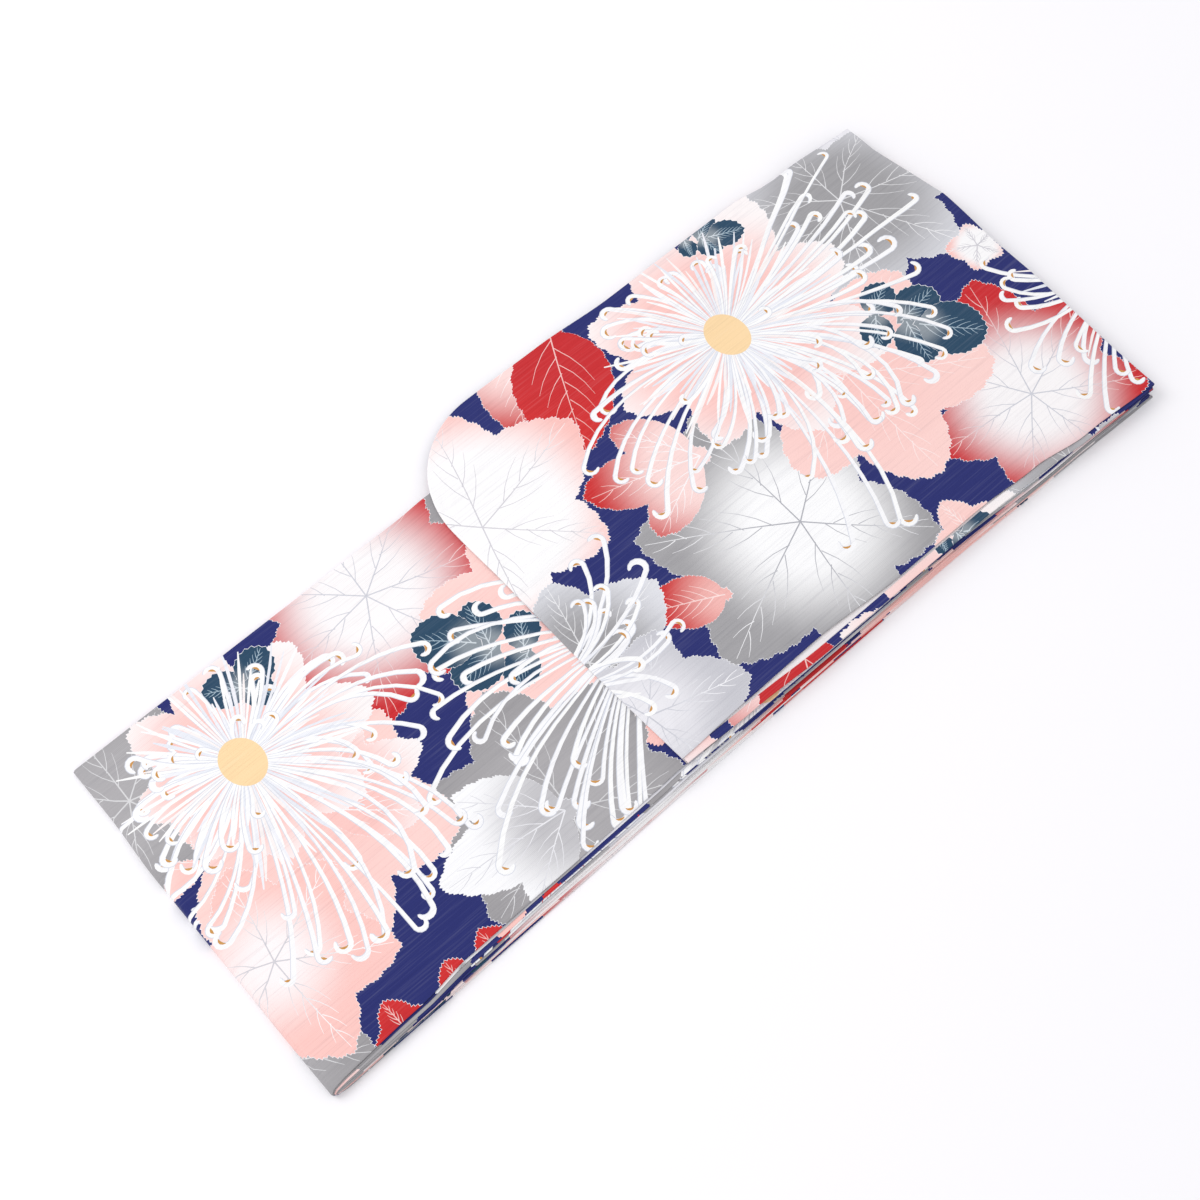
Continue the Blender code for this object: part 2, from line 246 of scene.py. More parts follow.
@dataclass(frozen=True)
class Package:
    """The folded robe's sizes, which every sheet of cloth in it follows."""

    wall: float = 1.1
    gap: float = 0.3
    fronts_packed: float = 2.6
    seam_fullness: float = 0.85
    seam_softness: float = 50.0
    thin_from: float = 205.0
    thin_to: float = 265.0
    length: float = 828.0
    back_width: float = 307.5
    sleeve_reach: float = 352.0
    corner_radius: float = 82.0
    turn_start: float = 2.5
    turn_lean: float = 0.0167
    turn_share: float = 14.0
    lift_from: float = 310.0
    lift_to: float = 334.0
    collar_depth: float = 62.0
    collar_rise: float = 30.0
    overhang_from: float = 304.5
    left_droop: float = 3.6
    left_droop_to: float = 348.0
    right_droop_to: float = 336.0
    right_rest: float = 0.2
    top: float = 16.0
    top_share: float = 1.1
    ripple: float = 0.13
    step_back_to: float = 212.0
    step_back_from_x: float = 690.0
    step_back_to_x: float = 745.0

    @property
    def fronts_inner(self) -> float:
        """How far the fronts' inner face lies from the mid-plane of the turn."""
        return 1.5 * self.gap + self.wall

    @property
    def lift_height(self) -> float:
        """How far the right sleeve raises the upper half."""
        return 2 * self.wall + 2 * self.gap

    def fullness(self, x: Array, y: Array, upper: Array) -> Array:
        """The share of the fronts' thickness that lies at a point of one half.

        Args:
            x: along the package.
            y: across it.
            upper: whether the point is on the upper half.

        Returns:
            The share, 1 where all the layers lie.
        """
        near = self.seam_fullness + (1 - self.seam_fullness) * smooth(y, 0, self.seam_softness)
        full = near * (1 - smooth(y, self.thin_from, self.thin_to))
        neck = self.length - self.collar_depth
        packed = (2 * self.wall + 2 * self.gap) / self.fronts_packed
        collar = packed * smooth(x, neck - self.collar_rise, neck)
        return np.where(upper, np.maximum(full, collar), full)

    def left_back_inner(self, x: Array, y: Array, upper: Array) -> Array:
        """How far the left back's inner face lies from the mid-plane of the turn."""
        return self.fronts_inner + self.fronts_packed * self.fullness(x, y, upper)

    def mid_height(self, y: Array) -> Array:
        """The height of the mid-plane, with the lowest layer on the table."""
        lower_half = np.zeros_like(y, bool)
        return self.left_back_inner(np.zeros_like(y), y, lower_half) + self.wall

    def lift(self, x: Array) -> Array:
        """How far the upper half is raised at a place along the package."""
        return self.lift_height * smooth(x, self.lift_from, self.lift_to)

    def upper_face(self, x: Array, y: Array) -> Array:
        """The height of the left back's upper face."""
        inner = self.left_back_inner(x, y, np.ones_like(y, bool))
        return self.mid_height(y) + self.lift(x) + inner + self.wall

    def settle(self, points: Array) -> Array:
        """Moves the layers to the creases, most at the top and not at all on the table.

        Args:
            points: points of the cloth.

        Returns:
            The same points, with their heights eased.
        """
        x, y, z = points.T
        rise = self.ripple * sum(np.sin(x / r.along + y / r.across + r.phase) for r in RIPPLES)
        for crease in CREASES:
            rise = rise + crease.rise(x, y)
        share = np.clip(z / self.top, 0.0, self.top_share)
        return np.column_stack([x, y, z + rise * share])


PACKAGE = Package()


@dataclass(frozen=True)
class Roll:
    """An edge that is turned in: half a turn, then an allowance that lies flat."""

    radius: float = 0.30
    allowance: float = 6.0

    @property
    def length(self) -> float:
        """How much cloth the edge takes."""
        return math.pi * self.radius + self.allowance

    def place(self, inside: Array) -> tuple[Array, Array]:
        """Where cloth comes to lie near a turned edge.

        Args:
            inside: how far the cloth is from its cut edge, laid out flat.

        Returns:
            How far it lies from the folded edge, and how far below the surface.
        """
        if self.radius == 0:
            return inside, np.zeros_like(inside)
        past = self.length - inside
        angle = np.clip(past / self.radius, 0.0, math.pi)
        flat = np.maximum(-past, 0.0)
        under = np.maximum(past - math.pi * self.radius, 0.0)
        distance = self.radius * (1 - np.sin(angle)) + flat + under
        return distance, self.radius * (1 - np.cos(angle))

    def bends(self) -> list[float]:
        """Distances from the cut edge where the mesh needs a line of points."""
        turn = math.pi * self.radius
        return [self.allowance + turn * share for share in (0.0, 0.25, 0.5, 0.75, 1.0) if turn]


CUT_EDGE = Roll(0.0, 0.0)
# Where a full fold needs lines of points, as shares of its half turn
FOLD_LINES = (-1, -0.67, -0.33, 0, 0.33, 0.67, 1)


Paint = Callable[[Array], Array]


@dataclass(frozen=True)
class Patch:
    """One shape of the print: an outline on the flat cloth, and its colour at each point."""

    outline: Array
    paint: Paint


def plain(colour: str) -> Paint:
    """A paint that is the same all over."""
    value = linear(colour)
    return lambda points: np.tile(value, (len(points), 1))


def ribbon(path: Array, widths: Array) -> Array:
    """The outline of a strip that follows a path.

    Args:
        path: points along its middle.
        widths: its width at each of them.

    Returns:
        The outline, anticlockwise, with a rounded tip.
    """
    ahead = np.gradient(path, axis=0)
    ahead = ahead / np.maximum(np.linalg.norm(ahead, axis=1, keepdims=True), 1e-9)
    side = np.column_stack([-ahead[:, 1], ahead[:, 0]]) * (widths / 2)[:, None]
    tip = path[-1] + ahead[-1] * widths[-1] * 0.5
    return np.vstack([path - side, tip, (path + side)[::-1]])


def walk(start: Array, headings: Array, steps: Array) -> Array:
    """Points along a line that sets off from start and turns step by step."""
    moves = np.column_stack([np.cos(headings), np.sin(headings)]) * steps[:, None]
    return np.vstack([start, start + np.cumsum(moves, axis=0)])


@dataclass(frozen=True)
class Dye:
    """The colours of a leaf, from its heart to its rim, and of its veins."""

    heart: str
    rim: str
    vein_heart: str
    vein_rim: str
    start: float = 0.30
    end: float = 0.85
    outline: str = "#F0F0F2"


class LeafDye(Enum):
    """The leaf colours of the print."""

    SILVER = Dye("#F5F5F5", "#9E9D9F", "#AEAFB5", "#ECECED", 0.24, 0.74)
    GREY = Dye("#A8A6A8", "#9A989A", "#D2D2D3", "#D8D8D9")
    ASH = Dye("#9C9B9D", "#D9DADF", "#DADADB", "#F2F2F3", 0.30, 0.95)
    LILAC = Dye("#E6E5E9", "#C3C3C9", "#C9CAD1", "#F4F4F6", 0.15, 0.80)
    RED = Dye("#C2262B", "#CC2A2B", "#EFC0BC", "#EDB3AE")
    ROSE = Dye("#F3F0F0", "#C5242A", "#CACBD2", "#F2C8C4", 0.26, 0.79)
    BLUSH = Dye("#F4D6D2", "#C62A2B", "#F4F0F0", "#F0C0BB", 0.35, 0.98)
    CORAL = Dye("#EDB4AE", "#C62A2B", "#F6DAD6", "#F0C0BB", 0.10, 0.80)
    PINK = Dye("#F4C6C0", "#F6CFC9", "#F5DFDC", "#F7E6E3", 0.10, 0.90)
    PETAL = Dye("#F4C3BD", "#F4EEED", "#F3EFEF", "#F4F2F2", 0.42, 0.92)
    SHELL = Dye("#F4F3F3", "#F4BDB6", "#CFCDD2", "#F5F0EF", 0.50, 0.96)
    BLOOM = Dye("#F6EFEF", "#F5C3BC", "#CDCBD0", "#F5F0EF", 0.10, 0.62)
    MIST = Dye("#BDBCBF", "#F3F3F4", "#E6E6E9", "#D3D3D8", 0.20, 0.72)
    TEAL = Dye("#8B949B", "#24455F", "#CDD5DA", "#9DB2BF", 0.15, 0.50)


class LeafForm(Enum):
    """How a leaf is cut: its reach between two lobes, and how blunt the lobes are."""

    PALM = (0.70, 1.12)
    LOBE = (0.12, 1.55)
    OVATE = (0.06, 0.95)
    PETALS = (0.68, 1.50)


class Veining(NamedTuple):
    """Where pairs of side veins leave a main vein, as shares of its length, and their angle."""

    pairs: tuple[float, ...]
    fork: float


LONE_LOBE_VEINS = Veining((0.10, 0.24, 0.38, 0.52, 0.66, 0.79), 0.72)
LOBE_VEINS = Veining((0.20, 0.38, 0.56, 0.73), 0.56)


@dataclass(frozen=True)
class Leaf:
    """A leaf of the print: lobes about the point where its veins meet."""

    x: float
    y: float
    size: float
    turn: float
    lobes: int
    form: LeafForm
    dye: LeafDye
    sweep: float = 305.0
    tooth: float = 3.1
    depth: float = 0.80
    scallop: float = 0.021
    scallop_pitch: float = 13.0
    line: float = 0.45
    side_loss: float = 0.22
    veined: bool = True
    lone_half: float = 80.0
    waist_least: float = 0.08
    edge_least: float = 0.05
    points_round: int = 720

    def directions(self) -> Array:
        """The way that each lobe points.

        Returns:
            The directions, in radians.
        """
        if self.lobes == 1:
            return np.array([math.radians(self.turn)])
        spread = np.linspace(-self.sweep / 2, self.sweep / 2, self.lobes)
        return np.radians(self.turn + spread)

    def reaches(self) -> Array:
        """How long each lobe is: longest in the middle, and a little uneven.

        Returns:
            The lengths.
        """
        side = np.abs(np.linspace(-1, 1, self.lobes)) if self.lobes > 1 else np.zeros(1)
        chance = random.Random(round(self.x * 7 + self.y * 13))
        uneven = np.array([chance.uniform(0.92, 1.06) for _ in range(self.lobes)])
        return self.size * (1 - self.side_loss * side) * uneven

    def reach(self, angle: Array) -> Array:
        """How far the leaf reaches from its heart.

        Args:
            angle: directions, in radians.

        Returns:
            The reach in each.
        """
        waist, power = self.form.value
        half = math.radians(self.lone_half if self.lobes == 1 else self.sweep / (self.lobes - 1) / 2)
        best = np.full_like(angle, self.waist_least * self.size)
        for direction, length in zip(self.directions(), self.reaches()):
            off = np.abs((angle - direction + math.pi) % (2 * math.pi) - math.pi) / half
            best = np.maximum(best, length * (1 - (1 - waist) * off ** power))
        return best

    def share(self, points: Array) -> Array:
        """How far towards the tips each point is."""
        return np.hypot(points[:, 0] - self.x, points[:, 1] - self.y) / self.size

    def wash(self, heart: str, rim: str) -> Paint:
        """A paint that runs from one colour to another.

        Args:
            heart: the colour at the heart.
            rim: the colour towards the tips.

        Returns:
            The paint.
        """
        first, last = linear(heart), linear(rim)
        dye = self.dye.value

        def paint(points: Array) -> Array:
            """The colour at each point."""
            t = smooth(self.share(points), dye.start, dye.end)[:, None]
            return first * (1 - t) + last * t

        return paint

    def outline(self, grow: float) -> Array:
        """The toothed outline.

        Args:
            grow: how far it is grown all round.

        Returns:
            Its points, anticlockwise.
        """
        whole = self.points_round
        angles = np.linspace(0, 2 * math.pi, whole, endpoint=False)
        radius = self.reach(angles)
        points = np.column_stack([radius * np.cos(angles), radius * np.sin(angles)])
        steps = np.hypot(*(np.roll(points, -1, 0) - points).T)
        run = np.concatenate([[0.0], np.cumsum(steps)])
        count = 2 * max(int(run[-1] / self.tooth), 8)
        places = np.linspace(0, run[-1], count, endpoint=False)
        angles = np.interp(places, run, np.arange(whole + 1)) / whole * 2 * math.pi
        tooth = np.where(np.arange(count) % 2 == 0, self.depth, -self.depth)
        waves = max(round(run[-1] / self.scallop_pitch), 3) * places / run[-1]
        bulge = np.abs(np.sin(math.pi * (waves + 0.3 * np.sin(angles * 3)))) - 0.6
        tooth = tooth + self.scallop * self.size * bulge
        radius = np.maximum(self.reach(angles) + tooth, self.edge_least * self.size) + grow
        return np.column_stack([self.x + radius * np.cos(angles), self.y + radius * np.sin(angles)])

    def vein(self, start: Array, heading: float, length: float, bend: float, width: float) -> Array:
        """A tapered vein that curves as it goes.

        Args:
            start: where it leaves the heart or a larger vein.
            heading: the way it sets off, in radians.
            length: how long it is.
            bend: how far it turns on its way.
            width: its width at the start.

        Returns:
            Its outline.
        """
        turns = heading + bend * np.array([0.0, 0.5, 1.0])
        path = walk(start, turns, np.full(3, length / 3))
        return ribbon(path, width * np.array([1.0, 0.8, 0.6, 0.35]))

    def veins(self) -> list[Array]:
        """The main vein of each lobe and the side veins that leave it.

        Returns:
            Their outlines.
        """
        heart = np.array([self.x, self.y])
        drawn = []
        veining = LONE_LOBE_VEINS if self.lobes == 1 else LOBE_VEINS
        for direction, length in zip(self.directions(), self.reaches()):
            drawn.append(self.vein(heart, direction, length * 0.95, 0.06, 1.1))
            way = np.array([math.cos(direction + 0.03), math.sin(direction + 0.03)])
            for place in veining.pairs:
                for side in (-1, 1):
                    start = heart + way * length * (place + 0.035 * side)
                    run = length * (0.07 + 0.34 * (1 - place))
                    heading = direction + side * veining.fork
                    drawn.append(self.vein(start, heading, run, -side * 0.30, 0.75))
        return drawn

    def patches(self) -> list[Patch]:
        """The leaf's shapes.

        Returns:
            A light outline, the fill, and the veins.
        """
        dye = self.dye.value
        found = [Patch(self.outline(self.line), plain(dye.outline))] if self.line else []
        found.append(Patch(self.outline(0.0), self.wash(dye.heart, dye.rim)))
        if not self.veined:
            return found
        vein_paint = self.wash(dye.vein_heart, dye.vein_rim)
        return found + [Patch(shape, vein_paint) for shape in self.veins()]


class Sector(NamedTuple):
    """Petals between two directions in degrees, how far they reach, and how they bend."""

    start: float
    end: float
    count: int
    reach: float
    bend: float = 0.0


@dataclass(frozen=True)
class Spider:
    """A spider chrysanthemum: a yellow disc and long thin petals that hook at their tips."""

    x: float
    y: float
    sectors: tuple[Sector, ...]
    disc: tuple[float, float] = (17.0, 21.0)
    short: int = 92
    short_reach: float = 92.0
    inner: int = 12
    seed: int = 1
    tones: tuple[str, ...] = ("#F4F4F3", "#F2F2F3", "#E9EAEF", "#F2EBE9", "#F4F4F3", "#E1E4EB")
    short_widths: tuple[float, ...] = (0.8, 1.35, 1.9, 2.4, 2.6, 1.0)
    stem_widths: tuple[float, float] = (1.0, 3.2)
    hook_widths: tuple[float, ...] = (3.5, 4.0, 4.4, 4.5, 4.2, 3.6, 2.8, 1.9)
    hook_sizes: tuple[float, float] = (4.0, 6.4)
    hook_turns: tuple[float, float] = (2.3, 3.3)
    stem_steps: int = 9
    hook_steps: int = 7
    ochre_share: float = 0.8
    shade: str = "#D3D6DF"
    ochre: str = "#C9924E"
    yolk: str = "#F3D3A3"

    def short_petals(self, chance: random.Random) -> list[Patch]:
        """The dense inner petals, with what lies below showing in slits between them.

        Args:
            chance: where their unevenness comes from.

        Returns:
            Their shapes.
        """
        found = []
        for i in range(self.short):
            way = 2 * math.pi * (i + chance.uniform(-0.35, 0.35)) / self.short
            inside = 0.7 * self.disc[0]
            start = np.array([self.x, self.y]) + inside * np.array([math.cos(way), math.sin(way)])
            reach = self.short_reach * chance.uniform(0.55, 1.15) - inside
            bend = chance.uniform(-0.22, 0.22)
            path = walk(start, way + bend * np.linspace(-0.3, 1, 5), np.full(5, reach / 5))
            widths = np.array(self.short_widths) * chance.uniform(0.75, 1.15)
            if i % 2:
                found.append(Patch(ribbon(path[:4], widths[:4] + 0.8), plain(self.shade)))
            found.append(Patch(ribbon(path, widths), plain(chance.choice(self.tones))))
        return found

    def hooked(self, way: float, reach: float, bend: float, chance: random.Random) -> list[Patch]:
        """One petal with its shaded side, its hook and the ochre inside the hook.

        Args:
            way: the way that it leaves the disc, in radians.
            reach: how far its tip lies from the flower's middle.
            bend: how far its stem turns, in radians.
            chance: where its unevenness comes from.

        Returns:
            Its shapes.
        """
        curl = math.copysign(1.0, bend if chance.random() < 0.75 else -bend)
        hook = chance.uniform(*self.hook_sizes)
        stem, arc = self.stem_steps, self.hook_steps
        sweep = chance.uniform(*self.hook_turns)
        inside = 0.75 * self.disc[0]
        start = np.array([self.x, self.y]) + inside * np.array([math.cos(way), math.sin(way)])
        run = max(reach - inside - hook, 18.0)
        stem_ways = way + bend * (1.3 * np.linspace(0.0, 1.0, stem) ** 1.8 - 0.3)
        arc_ways = stem_ways[-1] + curl * sweep * (np.arange(arc) + 1) / arc
        headings = np.concatenate([stem_ways, arc_ways])
        steps = np.concatenate([np.full(stem, run / stem), np.full(arc, hook * sweep / arc)])
        path = walk(start, headings, steps)
        full = chance.uniform(0.8, 1.12)
        widths = full * np.concatenate([np.linspace(*self.stem_widths, stem), self.hook_widths])
        ahead = np.gradient(path, axis=0)
        side = np.column_stack([-ahead[:, 1], ahead[:, 0]])
        side = side / np.linalg.norm(side, axis=1, keepdims=True)
        found = [Patch(ribbon(path - 0.3 * side, widths + 0.6), plain(self.shade)),
                 Patch(ribbon(path, widths), plain(chance.choice(self.tones[:2])))]
        if chance.random() < self.ochre_share:
            inner = (path + side * curl * widths[:, None] * 0.42)[-7:-2]
            found.append(Patch(ribbon(inner, np.array([0.4, 1.3, 1.9, 1.4, 0.4])), plain(self.ochre)))
        return found

    def patches(self) -> list[Patch]:
        """The flower's shapes.

        Returns:
            From the longest petals, which lie lowest, up to the disc.
        """
        chance = random.Random(self.seed)
        long = []
        for sector in self.sectors:
            for i in range(sector.count):
                share = (i + chance.uniform(0.1, 0.9)) / sector.count
                way = math.radians(sector.start + (sector.end - sector.start) * share)
                reach = sector.reach * chance.uniform(0.60, 1.05)
                bend = sector.bend * chance.uniform(0.6, 1.4) + chance.uniform(-0.12, 0.12)
                long.append(self.hooked(way, reach, bend, chance))
        chance.shuffle(long)
        found = [shape for petal in long for shape in petal]
        found += self.short_petals(chance)
        for _ in range(self.inner):
            way = chance.uniform(0, 2 * math.pi)
            found += self.hooked(way, chance.uniform(34, 95), chance.uniform(-0.5, 0.5), chance)
        angles = np.linspace(0, 2 * math.pi, 28, endpoint=False)
        disc = np.column_stack([self.x + self.disc[0] * np.cos(angles),
                                self.y + self.disc[1] * np.sin(angles)])
        found.append(Patch(disc, plain(self.yolk)))
        return found


# Short names for the tables of leaves below
P, V, PE = LeafForm.PALM, LeafForm.OVATE, LeafForm.PETALS
D = LeafDye


def lobed(x: float, y: float, size: float, turn: float) -> tuple[Leaf, ...]:
    """A chrysanthemum leaf: rounded lobes in pairs along a stem, and one at its end.

    Args:
        x: where the stem starts.
        y: where the stem starts.
        size: the whole length.
        turn: the way that the stem runs, in degrees.

    Returns:
        One leaf for each lobe.
    """
    way = math.radians(turn)
    rows = ((0.02, 78, 0.34), (0.06, -76, 0.34), (0.28, 58, 0.46), (0.33, -54, 0.44), (0.44, 4, 0.56))
    return tuple(Leaf(x + size * at * math.cos(way), y + size * at * math.sin(way), size * share,
                      turn + off, 1, LeafForm.LOBE, LeafDye.TEAL, tooth=5.2) for at, off, share in rows)


SLEEVE_LEAVES = (
    Leaf(764, 288, 122, -120, 7, P, D.ASH, 308),
    Leaf(812, 182, 26, 150, 5, P, D.SHELL, 290),
    Leaf(746, 58, 112, 70, 7, P, D.ROSE, 308),
    Leaf(534, 98, 136, 174, 6, P, D.SILVER, 280),
    Leaf(480, 372, 96, -125, 1, V, D.BLUSH),
    Leaf(506, 356, 122, -118, 1, V, D.RED),
    Leaf(516, 190, 92, 160, 3, PE, D.BLUSH, 84),
    Leaf(353, 257, 118, 12, 5, P, D.SHELL, 240),
    Leaf(450, 92, 62, 152, 1, V, D.CORAL),
    Leaf(338, 118, 84, 12, 5, P, D.ASH, 250),
    Leaf(342, 58, 82, -18, 5, P, D.LILAC, 250),
    Leaf(625, 2, 36, 90, 5, P, D.PINK, 260),
    Leaf(650, 168, 122, -65, 6, PE, D.PINK, 290),
    Leaf(608, 258, 136, 22, 8, PE, D.PETAL, 315, veined=False),
    *lobed(702, 194, 92, -54),
    *lobed(642, 352, 52, -34),
)
SLEEVE_TIP = (
    Leaf(815, 335, 62, -120, 5, P, D.LILAC, 260),
)
BODY_LEAVES = (
    Leaf(22, 262, 96, -170, 7, P, D.GREY, 308),
    Leaf(252, 274, 120, -70, 7, P, D.ROSE, 308),
    Leaf(352, 168, 116, 170, 6, PE, D.PINK, 290, veined=False),
    Leaf(253, 45, 118, 112, 6, P, D.GREY, 280),
    Leaf(250, 46, 100, 172, 3, P, D.MIST, 80),
    Leaf(106, 166, 116, -75, 6, PE, D.PINK, 300, veined=False),
    Leaf(120, 164, 94, -6, 3, P, D.PETAL, 76),
    Leaf(26, 98, 98, -62, 6, P, D.BLOOM, 280),
    Leaf(150, -14, 36, 96, 3, P, D.RED, 150),
    Leaf(112, -12, 34, 84, 3, P, D.RED, 150),
    Leaf(64, -2, 30, 90, 3, P, D.RED, 160),
    Leaf(101, 231, 108, 10, 8, PE, D.PETAL, 315, veined=False),
    *lobed(314, 156, 94, 130),
    Leaf(140, 276, 36, 148, 1, LeafForm.LOBE, D.TEAL, tooth=5.2),
    Leaf(140, 276, 36, 32, 1, LeafForm.LOBE, D.TEAL, tooth=5.2),
    Leaf(136, 278, 26, -52, 1, LeafForm.LOBE, D.TEAL, tooth=5.2),
)
FLOWER_A = Spider(608, 257, (
    Sector(-25, 33, 17, 195, 0.10), Sector(-52, -25, 9, 190, -0.45), Sector(-72, -52, 6, 165, -0.85),
    Sector(-105, -72, 5, 225, -0.35), Sector(-105, -60, 6, 150, -0.55), Sector(-142, -105, 7, 140, -0.45),
    Sector(-200, -142, 8, 168, 0.50), Sector(125, 160, 5, 122, 0.45), Sector(33, 125, 7, 105, 0.20),
), seed=11)
FLOWER_B = Spider(101, 230, (
    Sector(-18, 24, 8, 160, -0.55), Sector(-50, -18, 7, 145, -0.80), Sector(-86, -50, 9, 180, -0.60),
    Sector(-116, -84, 8, 205, -0.30), Sector(-150, -116, 6, 150, -0.40), Sector(-195, -150, 7, 125, 0.40),
    Sector(130, 165, 6, 98, 0.45), Sector(24, 130, 6, 85, 0.20),
), short_reach=86.0, seed=23)
FLOWER_C = Spider(384, 116, (
    Sector(112, 145, 5, 172, 0.60), Sector(145, 170, 6, 172, 0.50), Sector(170, 200, 7, 212, 0.35),
    Sector(200, 232, 12, 180, 0.15),
), disc=(6.0, 6.0), short=24, short_reach=80.0, inner=0, seed=37)
FLOWER_C_SLEEVE = Spider(298, 118, (
    Sector(-24, 28, 9, 132, 0.50), Sector(-45, -10, 3, 128, -0.60), Sector(12, 32, 3, 165, 0.60),
), disc=(6.0, 6.0), short=16, short_reach=70.0, inner=0, seed=38)
FLOWER_D = Spider(892, 92, (
    Sector(138, 180, 7, 126, -0.45), Sector(180, 226, 8, 138, 0.35),
), disc=(6.0, 6.0), short=30, inner=0, seed=41)


def patches_of(leaves: Sequence[Leaf], flowers: Sequence[Spider]) -> list[Patch]:
    """The shapes of part of the print.

    Args:
        leaves: the leaves, lowest first.
        flowers: the flowers, which lie over them.

    Returns:
        The shapes in the order that they are laid down.
    """
    found: list[Patch] = []
    for leaf in leaves:
        found += leaf.patches()
    for flower in flowers:
        found += flower.patches()
    return found


@dataclass
class Cut:
    """A sheet of cloth laid out flat, with the lines that it bends along."""

    edge: Array
    bends: list[Array] = field(default_factory=list)
    spacing: float = 6.0

    def size(self) -> tuple[float, float]:
        """The width and length of the cloth that it is cut from, in metres."""
        length, width = (self.edge.max(0) - self.edge.min(0)) * MM
        return float(width), float(length)

    def area(self) -> float:
        """The area of the cut, in square metres."""
        x, y = self.edge.T
        return abs(float(np.dot(x, np.roll(y, -1)) - np.dot(y, np.roll(x, -1)))) / 2 * MM * MM

    def grid(self) -> Array:
        """Points that fill the sheet in staggered rows.

        Returns:
            The points.
        """
        low, high = self.edge.min(0), self.edge.max(0)
        rows = np.arange(low[1] + self.spacing / 2, high[1], self.spacing * 0.87)
        found = []
        for i, y in enumerate(rows):
            xs = np.arange(low[0] + self.spacing * (0.5 if i % 2 else 1.0), high[0], self.spacing)
            found.append(np.column_stack([xs, np.full(len(xs), y)]))
        return np.vstack(found)


def within(points: Array, outline: Array) -> Array:
    """Which points lie inside an outline, also where it crosses itself.

    Args:
        points: the points.
        outline: the outline.

    Returns:
        True for each that the outline goes round.
    """
    start, end = outline, np.roll(outline, -1, 0)
    found = np.zeros(len(points), bool)
    for low in range(0, len(points), 4000):
        x, y = points[low:low + 4000, :1], points[low:low + 4000, 1:]
        side = (end[:, 0] - start[:, 0]) * (y - start[:, 1]) - (x - start[:, 0]) * (end[:, 1] - start[:, 1])
        up = (start[:, 1] <= y) & (end[:, 1] > y) & (side > 0)
        down = (start[:, 1] > y) & (end[:, 1] <= y) & (side < 0)
        found[low:low + 4000] = up.sum(1) != down.sum(1)
    return found


class PlanarMap:
    """Triangles of a flat sheet, whose edges follow the outlines of the print."""

    MERGE = 0.012

    def __init__(self, cut: Cut, patches: Sequence[Patch]) -> None:
        """Divides the sheet.

        Args:
            cut: the sheet.
            patches: the print's shapes, lowest first.
        """
        low, high = cut.edge.min(0), cut.edge.max(0)
        self.patches = [p for p in patches
                        if (p.outline.max(0) > low).all() and (p.outline.min(0) < high).all()]
        points: list[Array] = []
        edges: list[tuple[int, int]] = []
        count = 0
        for outline in [cut.edge, *[p.outline for p in self.patches]]:
            size = len(outline)
            edges += [(count + i, count + (i + 1) % size) for i in range(size)]
            points.append(outline)
            count += size
        for line in cut.bends:
            edges += [(count + i, count + i + 1) for i in range(len(line) - 1)]
            points.append(line)
            count += len(line)
        points.append(cut.grid())
        given = [Vector(p) for p in np.vstack(points)]
        made = delaunay_2d_cdt(given, edges, [], 0, self.MERGE, False)
        self.points = np.array([tuple(p) for p in made[0]])
        self.triangles = np.array(made[2])
        middles = self.points[self.triangles].mean(1)
        inside = within(middles, cut.edge)
        self.triangles, middles = self.triangles[inside], middles[inside]
        self.owner = np.zeros(len(middles), int)
        order = np.argsort(middles[:, 0])
        across = middles[order]
        for number, patch in enumerate(self.patches, 1):
            low, high = patch.outline.min(0), patch.outline.max(0)
            near = np.arange(*np.searchsorted(across[:, 0], (low[0], high[0])))
            near = near[(across[near, 1] > low[1]) & (across[near, 1] < high[1])]
            self.owner[order[near[within(across[near], patch.outline)]]] = number
        self.drop_unused()

    def drop_unused(self) -> None:
        """Leaves out points that no triangle uses, and turns every triangle one way."""
        a, b, c = (self.points[self.triangles[:, i]] for i in range(3))
        area = (b[:, 0] - a[:, 0]) * (c[:, 1] - a[:, 1]) - (c[:, 0] - a[:, 0]) * (b[:, 1] - a[:, 1])
        self.triangles[area < 0] = self.triangles[area < 0][:, ::-1]
        used, index = np.unique(self.triangles, return_inverse=True)
        self.triangles = index.reshape(-1, 3)
        self.points = self.points[used]

    def colours(self, ground: Paint) -> Array:
        """The colour of each triangle's corners.

        Args:
            ground: the paint between the print's shapes.

        Returns:
            Three rows for each triangle.
        """
        corners = self.points[self.triangles.ravel()]
        owner = np.repeat(self.owner, 3)
        found = np.zeros((len(corners), 3))
        order = np.argsort(owner, kind="stable")
        starts = np.flatnonzero(np.diff(owner[order], prepend=-1))
        for start, end in zip(starts, [*starts[1:], len(order)]):
            rows = order[start:end]
            number = owner[rows[0]]
            paint = ground if number == 0 else self.patches[number - 1].paint
            found[rows] = paint(corners[rows])
        return found

    def rim(self) -> Array:
        """The points round the edge, in order.

        Returns:
            Their numbers, from the longest loop of edges that have one triangle.

        Raises:
            ValueError: if a loop touches itself.
        """
        pairs = np.vstack([self.triangles[:, [i, (i + 1) % 3]] for i in range(3)])
        there = {(int(a), int(b)) for a, b in pairs}
        follow = {a: b for a, b in there if (b, a) not in there}
        longest: list[int] = []
        while follow:
            loop = []
            point = min(follow)
            while point in follow:
                loop.append(point)
                point = follow.pop(point)
            if point != loop[0]:
                raise ValueError("the edge of the cloth touches itself")
            longest = max(longest, loop, key=len)
        return np.array(longest)


Place = Callable[[Array, Array], Array]


